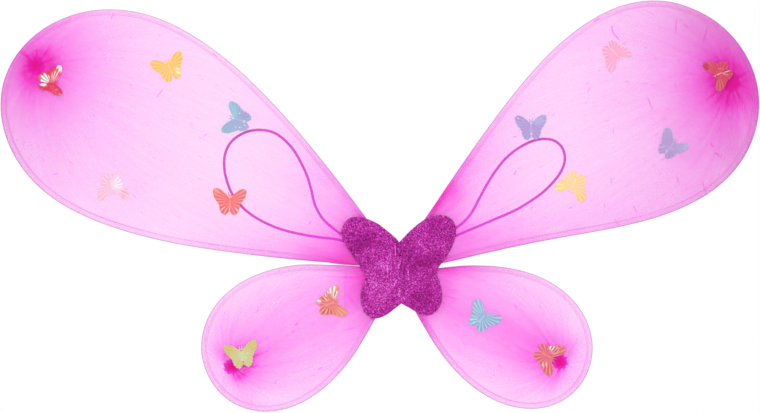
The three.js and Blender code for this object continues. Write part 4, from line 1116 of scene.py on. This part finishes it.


# Each sequin: wing, number, x, z, head direction, seen width of the left and right wings and length,
# colours (base, tip, vein), vein weight, curl (left, right), spots
# spot: u, v, ru, rv, turn, colour, vein colour or None. The white and near-white spots, the white rings at the holes,
# the thin pale lines and the pale veined patches are painted glints and glare, reflections of light on the film put
# into its colour; the other spots are the film's own colours.
GLINT_WHITE = (1.0, 0.97, 1.0)
SEQ = [
    ("upper_left", 1, -314.3, 171.5, 0.5, (1.02, 0.8, 0.96), (0.75, 0.006, 0.10), (0.74, 0.004, 0.10), (0.90, 0.10, 0.20), 0.22, (3.0, 2.4),
     [(-11.6, 8.4, 4.4, 3.0, 0, (0.93, 0.90, 0.98), None), (-6.0, 4.0, 7.6, 5.2, 30, (0.80, 0.07, 0.10), (1.0, 0.76, 0.78)),
      (-3.4, -5.4, 4.9, 4.6, 0, (0.93, 0.98, 0.97), (0.22, 0.28, 0.26)), (-4.6, -10.4, 3.4, 1.5, 0, (0.76, 0.15, 0.07), None),
      (2.6, -7.0, 1.5, 3.4, -8, GLINT_WHITE, None), (8.0, 5.0, 0.4, 0.8, 0, (0.95, 0.40, 0.46), None),
      (13.6, 8.8, 0.6, 2.4, -20, (0.80, 0.30, 0.56), None),
      (6.0, 1.6, 3.0, 2.0, 0, (0.80, 0.04, 0.10), None), (-1.6, 1.0, 2.0, 2.6, 0, (0.84, 0.13, 0.15), None)]),
    ("upper_left", 2, -207.3, 184.6, 110.2, (1.0, 0.97, 1.01), (0.97, 0.555, 0.12), (0.98, 0.54, 0.085), (1.0, 0.80, 0.42), 0.42, (0.4, 0.7),
     [(6.4, -5.2, 3.4, 4.6, 20, (0.98, 0.68, 0.27), (1.0, 0.95, 0.70)), (-4.5, -4.5, 3.0, 4.0, 0, (0.95, 0.55, 0.16), None)]),
    ("upper_left", 3, -146.3, 138.2, 163.5, (1.0, 0.95, 1.01), (0.34, 0.43, 0.66), (0.30, 0.52, 0.65), (0.58, 0.64, 0.84), 0.2, (0.5, 0.6),
     [(6.5, 7.5, 8.0, 5.0, 40, (0.31, 0.57, 0.70), None), (-3, -7.0, 6.0, 5.0, 0, (0.38, 0.42, 0.66), None),
      (-9.2, 7.5, 7.0, 4.5, -40, (0.31, 0.46, 0.63), None), (6.2, -5.2, 4.4, 4.2, 0, (0.37, 0.37, 0.62), None),
      (0, -1.2, 1.3, 6.5, 0, (0.31, 0.39, 0.62), None),
      (0, 3.9, 1.0, 0.9, 0, GLINT_WHITE, None), (0.1, -6.4, 1.0, 0.9, 0, GLINT_WHITE, None), (6.0, -0.6, 0.32, 1.0, 0, (0.86, 0.90, 1.0), None),
      (-7.0, -0.3, 0.32, 1.0, 20, (0.80, 0.84, 0.98), None), (-6.4, -4.2, 0.34, 1.2, 10, (0.96, 0.96, 1.0), None),
      (-3.2, -7.4, 0.34, 1.0, 0, (0.90, 0.92, 1.0), None)]),
    ("upper_left", 4, -153.1, 64.4, 88.2, (1.03, 0.98, 1.03), (0.91, 0.145, 0.165), (0.92, 0.16, 0.17), (1.0, 0.40, 0.38), 0.72, (0.9, 0.7),
     [(-12, 8.5, 3.2, 2.0, 20, (0.96, 0.28, 0.24), None), (12, 8.0, 3.6, 2.6, 20, (0.92, 0.16, 0.22), None),
      (6.5, -7.0, 3.4, 4.4, 0, (0.88, 0.14, 0.23), (1.0, 0.50, 0.52)), (-5.0, -7.0, 3.2, 3.6, 0, (0.88, 0.12, 0.16), (1.0, 0.55, 0.52)),
      (0, 4.3, 2.4, 0.6, 0, (1.0, 0.58, 0.50), None)]),
    ("upper_left", 5, -259.1, 78.1, 277.6, (0.94, 0.95, 1.02), (0.97, 0.545, 0.75), (0.97, 0.52, 0.70), (1.0, 0.74, 0.88), 0.42, (0.8, 1.8),
     [(-6.4, -2.0, 7.2, 9.2, 15, (0.93, 0.66, 0.86), (1.0, 0.93, 0.99)), (-11.0, 7.6, 3.6, 2.4, -30, (0.96, 0.48, 0.64), None),
      (-10.0, 5.6, 0.5, 3.4, -60, (0.95, 0.40, 0.54), None), (5.2, -5.0, 3.4, 4.6, 0, (0.96, 0.50, 0.69), (1.0, 0.70, 0.84))]),
    ("upper_right", 1, 193.5, 197.5, 310.2, (0.79, 0.98, 0.99), (0.97, 0.385, 0.61), (0.965, 0.41, 0.67), (1.0, 0.62, 0.80), 0.55, (0.7, 0.8),
     [(5.0, -6.0, 3.2, 4.0, 0, (0.97, 0.40, 0.62), None)]),
    ("upper_right", 2, 288.1, 179.1, 210.6, (0.88, 1.03, 0.91), (0.80, 0.046, 0.145), (0.86, 0.080, 0.23), (0.40, 0.035, 0.05), 0.75, (1.2, 1.4),
     [(12.4, 9.4, 4.4, 3.4, 0, (0.66, 0.012, 0.10), None), (-8.0, 5.5, 5.0, 3.5, 35, (0.80, 0.14, 0.14), (0.46, 0.06, 0.07)),
      (0.5, 2.0, 0.42, 5.2, -4, (0.98, 0.70, 0.66), None), (-1.2, -6.4, 0.42, 3.8, 14, (0.98, 0.70, 0.66), None),
      (-3.4, -4.4, 0.42, 3.8, 50, (0.98, 0.62, 0.56), None), (3.6, -3.0, 0.4, 3.4, -30, (0.90, 0.34, 0.34), None)]),
    ("upper_right", 3, 244.0, 114.0, 48.8, (0.96, 0.84, 0.98), (0.46, 0.305, 0.63), (0.45, 0.34, 0.65), (0.62, 0.47, 0.80), 0.25, (0.8, 0.6),
     [(9.0, 6.8, 7.0, 6.0, 0, (0.45, 0.36, 0.66), None), (12.6, 9.0, 4.0, 3.4, 0, (0.45, 0.43, 0.69), None), (5.0, -7.0, 3.4, 4.0, 0, (0.44, 0.28, 0.60), None),
      (0, -6.4, 1.0, 0.9, 0, GLINT_WHITE, None), (-6.0, -6.4, 2.4, 0.28, -41, (0.76, 0.68, 0.94), None), (-5.2, -4.2, 2.6, 0.26, -41, (0.70, 0.60, 0.90), None),
      (2.6, -1.4, 2.2, 0.26, 35, (0.68, 0.58, 0.88), None)]),
    ("upper_right", 4, 118.0, 131.2, 91.8, (0.95, 0.93, 0.97), (0.445, 0.32, 0.67), (0.465, 0.38, 0.71), (0.62, 0.54, 0.86), 0.3, (0.5, 0.5),
     [(-11.5, 8.0, 4, 3.4, 0, (0.46, 0.30, 0.63), None), (-12.2, 8.4, 1.2, 0.32, 35, (0.94, 0.84, 0.98), None),
      (0, 3.9, 1.1, 1.0, 0, GLINT_WHITE, None), (0, -6.4, 1.1, 1.0, 0, GLINT_WHITE, None), (7.5, 5.5, 5.0, 3.0, 35, (0.47, 0.43, 0.76), None)]),
    ("upper_right", 5, 156.0, 79.5, 244.8, (1.0, 0.95, 1.01), (0.98, 0.66, 0.32), (0.98, 0.59, 0.24), (1.0, 0.80, 0.48), 0.35, (0.8, 0.6),
     [(11, 7.5, 8, 5.5, 30, (0.98, 0.70, 0.23), (1.0, 0.80, 0.40)), (5.0, -5.0, 4.0, 5.0, 0, (0.98, 0.69, 0.36), None)]),
    ("lower_left", 1, -62.3, -27.4, 19.2, (0.96, 0.97, 1.03), (0.81, 0.165, 0.17), (0.83, 0.23, 0.20), (0.95, 0.46, 0.36), 0.55, (2.0, 1.0),
     [(-6.6, -3.0, 3.6, 3.0, 0, (0.80, 0.07, 0.06), (0.95, 0.50, 0.45)), (-11.9, 4.6, 3.0, 5.0, -20, GLINT_WHITE, (0.60, 0.30, 0.26)),
      (-7.0, 6.0, 4.0, 3.4, 30, (1.0, 0.86, 0.84), (0.40, 0.13, 0.06)), (-6.2, -9.2, 3.6, 2.2, 10, GLINT_WHITE, (0.80, 0.16, 0.08)),
      (-9.4, -1.0, 2.8, 1.4, 0, (1, 0.90, 0.86), (0.80, 0.16, 0.08)), (-4.6, -2.6, 2.6, 3.6, 30, (0.82, 0.12, 0.10), (1.0, 0.74, 0.66)), (-3.2, 7.4, 1.8, 3.2, -10, (0.98, 0.78, 0.74), (0.62, 0.16, 0.10)),
      (11.0, 6.5, 6, 4.0, 30, (0.84, 0.27, 0.21), None), (-11.8, 10.2, 3.2, 1.3, 10, (0.86, 0.24, 0.14), None),
      (4.6, -6.4, 3.4, 4.2, 0, (0.70, 0.09, 0.07), (0.95, 0.50, 0.36)), (8.5, -2.2, 2.6, 1.8, 0, (0.74, 0.12, 0.09), None)]),
    ("lower_left", 2, -142.3, -73.6, 100.3, (1.0, 1.0, 1.0), (0.65, 0.58, 0.27), (0.66, 0.49, 0.13), (0.76, 0.76, 0.44), 0.2, (0.2, 0.2),
     [(-11.5, 7.8, 4.5, 3.2, 20, (0.67, 0.50, 0.13), None), (11.8, 8.0, 4.2, 3.4, -20, (0.64, 0.56, 0.16), None),
      (0, -1.5, 4.5, 6, 0, (0.60, 0.65, 0.33), None), (5.5, 0.6, 1.3, 0.5, 10, (0.76, 0.80, 0.50), None), (2.8, -3.0, 0.35, 1.2, 20, (0.76, 0.80, 0.50), None),
      (-4.2, -7.2, 3.0, 3.6, 0, (0.63, 0.56, 0.22), None)]),
    ("lower_right", 1, 74.1, -40.4, 51.5, (1.01, 0.98, 1.01), (0.28, 0.42, 0.64), (0.32, 0.40, 0.66), (0.56, 0.80, 0.92), 0.62, (0.9, 1.1),
     [(-8.5, 5.0, 7, 5.5, 30, (0.30, 0.49, 0.66), (0.42, 0.66, 0.78)), (-5.0, -6.0, 4, 5, 0, (0.29, 0.50, 0.68), (0.50, 0.78, 0.88))]),
    ("lower_right", 2, 133.0, -74.7, 329.3, (0.94, 1.0, 1.01), (0.77, 0.11, 0.18), (0.79, 0.095, 0.12), (0.95, 0.36, 0.36), 0.65, (1.6, 1.0),
     [(-12.5, 9.5, 3.8, 3.0, 0, (0.76, 0.17, 0.12), None), (-8.4, 2.4, 4.6, 4.2, 20, (0.88, 0.40, 0.40), (0.34, 0.06, 0.06)),
      (-8.8, -0.6, 3.0, 2.4, 0, GLINT_WHITE, (0.50, 0.10, 0.10)), (5.5, 6.0, 3, 2.2, 20, (0.78, 0.10, 0.12), None),
      (8.9, 0.2, 2.6, 0.5, 35, (1, 0.80, 0.76), None), (7.2, 2.6, 2.6, 0.45, 35, (1, 0.75, 0.70), None), (12.0, 8.6, 4.0, 3.0, 0, (0.72, 0.13, 0.12), None)])]


def fabric_front(wing, p):
    line = made[wing]["line"]
    e = nearest(p, line)
    dk = np.linalg.norm(p - np.array(KNOTS[wing]), axis=1)
    return fabric_mid(dk) - fabric_half(e, dk)


def build_sequin(wing, number, cx, cz, head, seen, base, tip, vein, weight, curl, spots):
    holes = [circle(0.0, 3.9, 0.62), circle(0.0, -6.5, 0.62)]
    grid = hexgrid(S_OUT.min(0), S_OUT.max(0), 0.52)
    grid = grid[inside(grid, S_OUT)]
    grid = grid[nearest(grid, np.concatenate([S_OUT, S_OUT[:1]])) > 0.3]
    for h in holes:
        c = h.mean(0)
        grid = grid[np.linalg.norm(grid - c, axis=1) > 0.85]
    v2, f2 = fill(S_OUT, grid, holes)
    u, v = v2[:, 0], v2[:, 1]
    ridge, groove, body, fore = veins(u, v)
    e = nearest(v2, np.concatenate([S_OUT, S_OUT[:1]]))
    height = (0.22 * ridge * weight ** 0.5 - 0.07 * groove + 0.45 * body) * smooth(0.0, 0.8, e)
    cl = np.where(u < 0, curl[0], curl[1])
    lift = cl * (np.maximum(np.abs(u) - 1.0, 0) / 14.0) ** 1.6
    lift = lift + 0.35 * np.sin(u * 0.35 + number) * np.sin(v * 0.3 + 2 * number) * smooth(2, 6, np.abs(u))
    ang = math.radians(head - 90)
    us = np.where(u < 0, u * seen[0], u * seen[1])
    vs = v * seen[2]
    x = cx + us * math.cos(ang) - vs * math.sin(ang)
    z = cz + us * math.sin(ang) + vs * math.cos(ang)
    under = fabric_front(wing, np.stack([x, z], 1))
    seat = under.min() - 0.12
    y = seat - np.maximum(lift + height, -0.02)
    # colours
    c = np.tile(np.array(base), (len(u), 1))
    out = smooth(6, 15, np.hypot(u, v * 1.1)) * fore
    c = c + (np.array(tip) - c) * out[:, None]
    vcol = np.tile(np.array(vein), (len(u), 1))
    # mask of the spots with their own vein colour: some of them painted glare on the film, some colour patches
    glint_and_colour_spots = np.zeros(len(u))
    stripe = smooth(0.30, 0.85, ridge ** 0.4)
    for su, sv, ru, rv, deg, col, vc in spots:
        k_, s_ = math.cos(math.radians(deg)), math.sin(math.radians(deg))
        # a mirrored turn on the left keeps a spot lying along its wing
        if su < 0:
            s_ = -s_
        a = (u - su) * k_ + (v - sv) * s_
        b = -(u - su) * s_ + (v - sv) * k_
        rag = 0.38 * stripe if vc is not None else 0.10 * np.sin(3 * u + 2 * v)
        w = 1 - smooth(0.80, 1.10, np.hypot(a / ru, b / rv) + rag)
        c = c + (np.array(col) - c) * w[:, None]
        if vc is not None:
            vcol = vcol + (np.array(vc) - vcol) * w[:, None]
            glint_and_colour_spots = np.maximum(glint_and_colour_spots, w)
    vw = np.clip(ridge * weight * 1.1 + glint_and_colour_spots * stripe * 0.75, 0, 1)
    c = c + (vcol - c) * vw[:, None]
    # painted shade: darker in the groove between fore- and hindwing, and between the raised veins towards the outer
    # wing
    c = c * (1 - 0.08 * groove[:, None] * min(1, weight))
    c = c * (1 - 0.10 * min(weight, 1.2) * ((1 - stripe) * smooth(2.5, 5.0, np.hypot(u, v)))[:, None])
    c = c + (np.array(vein) - c) * (0.5 * body)[:, None]
    c = c + (np.minimum(np.array(base) * 1.15 + 0.10, 1) - c) * (0.35 * np.exp(-e / 0.35))[:, None]
    nv = len(v2)
    front = np.stack([x, y, z], 1)
    back = np.stack([x, y + 0.10, z], 1)
    faces = [list(f) for f in f2] + [[f[2] + nv, f[1] + nv, f[0] + nv] for f in f2]
    # side walls along every open edge
    count = {}
    for t in f2:
        for i in range(3):
            a, b = int(t[i]), int(t[(i + 1) % 3])
            count[(a, b)] = count.get((a, b), 0) + 1
    for (a, b) in list(count):
        if (b, a) not in count:
            faces.append([b, a, a + nv, b + nv])
    name = f"sequin_film_{wing}_{number}"
    o = mesh_object(name, np.concatenate([front, back]), faces, [MAT["sequin"]],
                    uv={"plan": np.concatenate([v2, v2]) / 100.0 + number * 0.37},
                    colors={"film_colour_and_glints": np.clip(np.concatenate([c, c * 0.9]), 0, 1)})
    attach(o, "wing_" + wing)
    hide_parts(f"sequin_{wing}_{number}")


for row in SEQ:
    build_sequin(*row)

# ----------------------------------------------------- CAD parts kept as is
for n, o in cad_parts.items():
    if n.startswith("root_tie"):
        o.data.materials.clear()
        o.data.materials.append(MAT["wound"])
    if n == "centre_binding":
        o.data.materials.clear()
        o.data.materials.append(MAT["tape"])

# ---------------------------------------------------------- floor and light
floor_m = Mat("floor")
far = floor_m.vmath("LENGTH", floor_m.node("TexCoord").outputs["Object"])
fade = floor_m.node("MapRange", {0: far, 1: 0.45, 2: 1.35, 3: 1.0, 4: 0.0}, interpolation_type="SMOOTHERSTEP")
floor_m.principled(color=(0.97, 0.965, 0.97), rough=0.9, spec=0.1, alpha=fade.outputs[0])
n = 96
ring = [(1400 * math.cos(2 * math.pi * i / n), 1400 * math.sin(2 * math.pi * i / n), -200.0) for i in range(n)]
floor = mesh_object("floor", ring, [list(range(n))], [floor_m.m], flat=True)

world = bpy.data.worlds.new("world")
scene.world = world
world.use_nodes = True
wn = world.node_tree
wn.nodes.clear()
w_out = wn.nodes.new("ShaderNodeOutputWorld")
w_mix = wn.nodes.new("ShaderNodeMixShader")
w_cam = wn.nodes.new("ShaderNodeBackground")
w_lit = wn.nodes.new("ShaderNodeBackground")
w_path = wn.nodes.new("ShaderNodeLightPath")
w_cam.inputs[0].default_value = (1, 1, 1, 1)
w_cam.inputs[1].default_value = 1.0
w_lit.inputs[0].default_value = (1, 1, 1, 1)
w_lit.inputs[1].default_value = 0.86
wn.links.new(w_path.outputs["Is Camera Ray"], w_mix.inputs[0])
wn.links.new(w_lit.outputs[0], w_mix.inputs[1])
wn.links.new(w_cam.outputs[0], w_mix.inputs[2])
wn.links.new(w_mix.outputs[0], w_out.inputs[0])


def area(name, at, size, power, target=(0, 0, 0.05)):
    d = bpy.data.lights.new(name, "AREA")
    d.shape = "DISK"
    d.size = size
    d.energy = power
    o = bpy.data.objects.new(name, d)
    o.location = at
    o.rotation_euler = (Vector(target) - Vector(at)).to_track_quat("-Z", "Y").to_euler()
    o.visible_camera = False
    scene.collection.objects.link(o)
    return o


area("key", (-1.1, -1.9, 1.5), 0.7, 9.0)
area("fill", (1.5, -1.8, 0.5), 1.2, 4.0)
area("rear", (0.4, 2.2, 1.3), 1.2, 6.0)
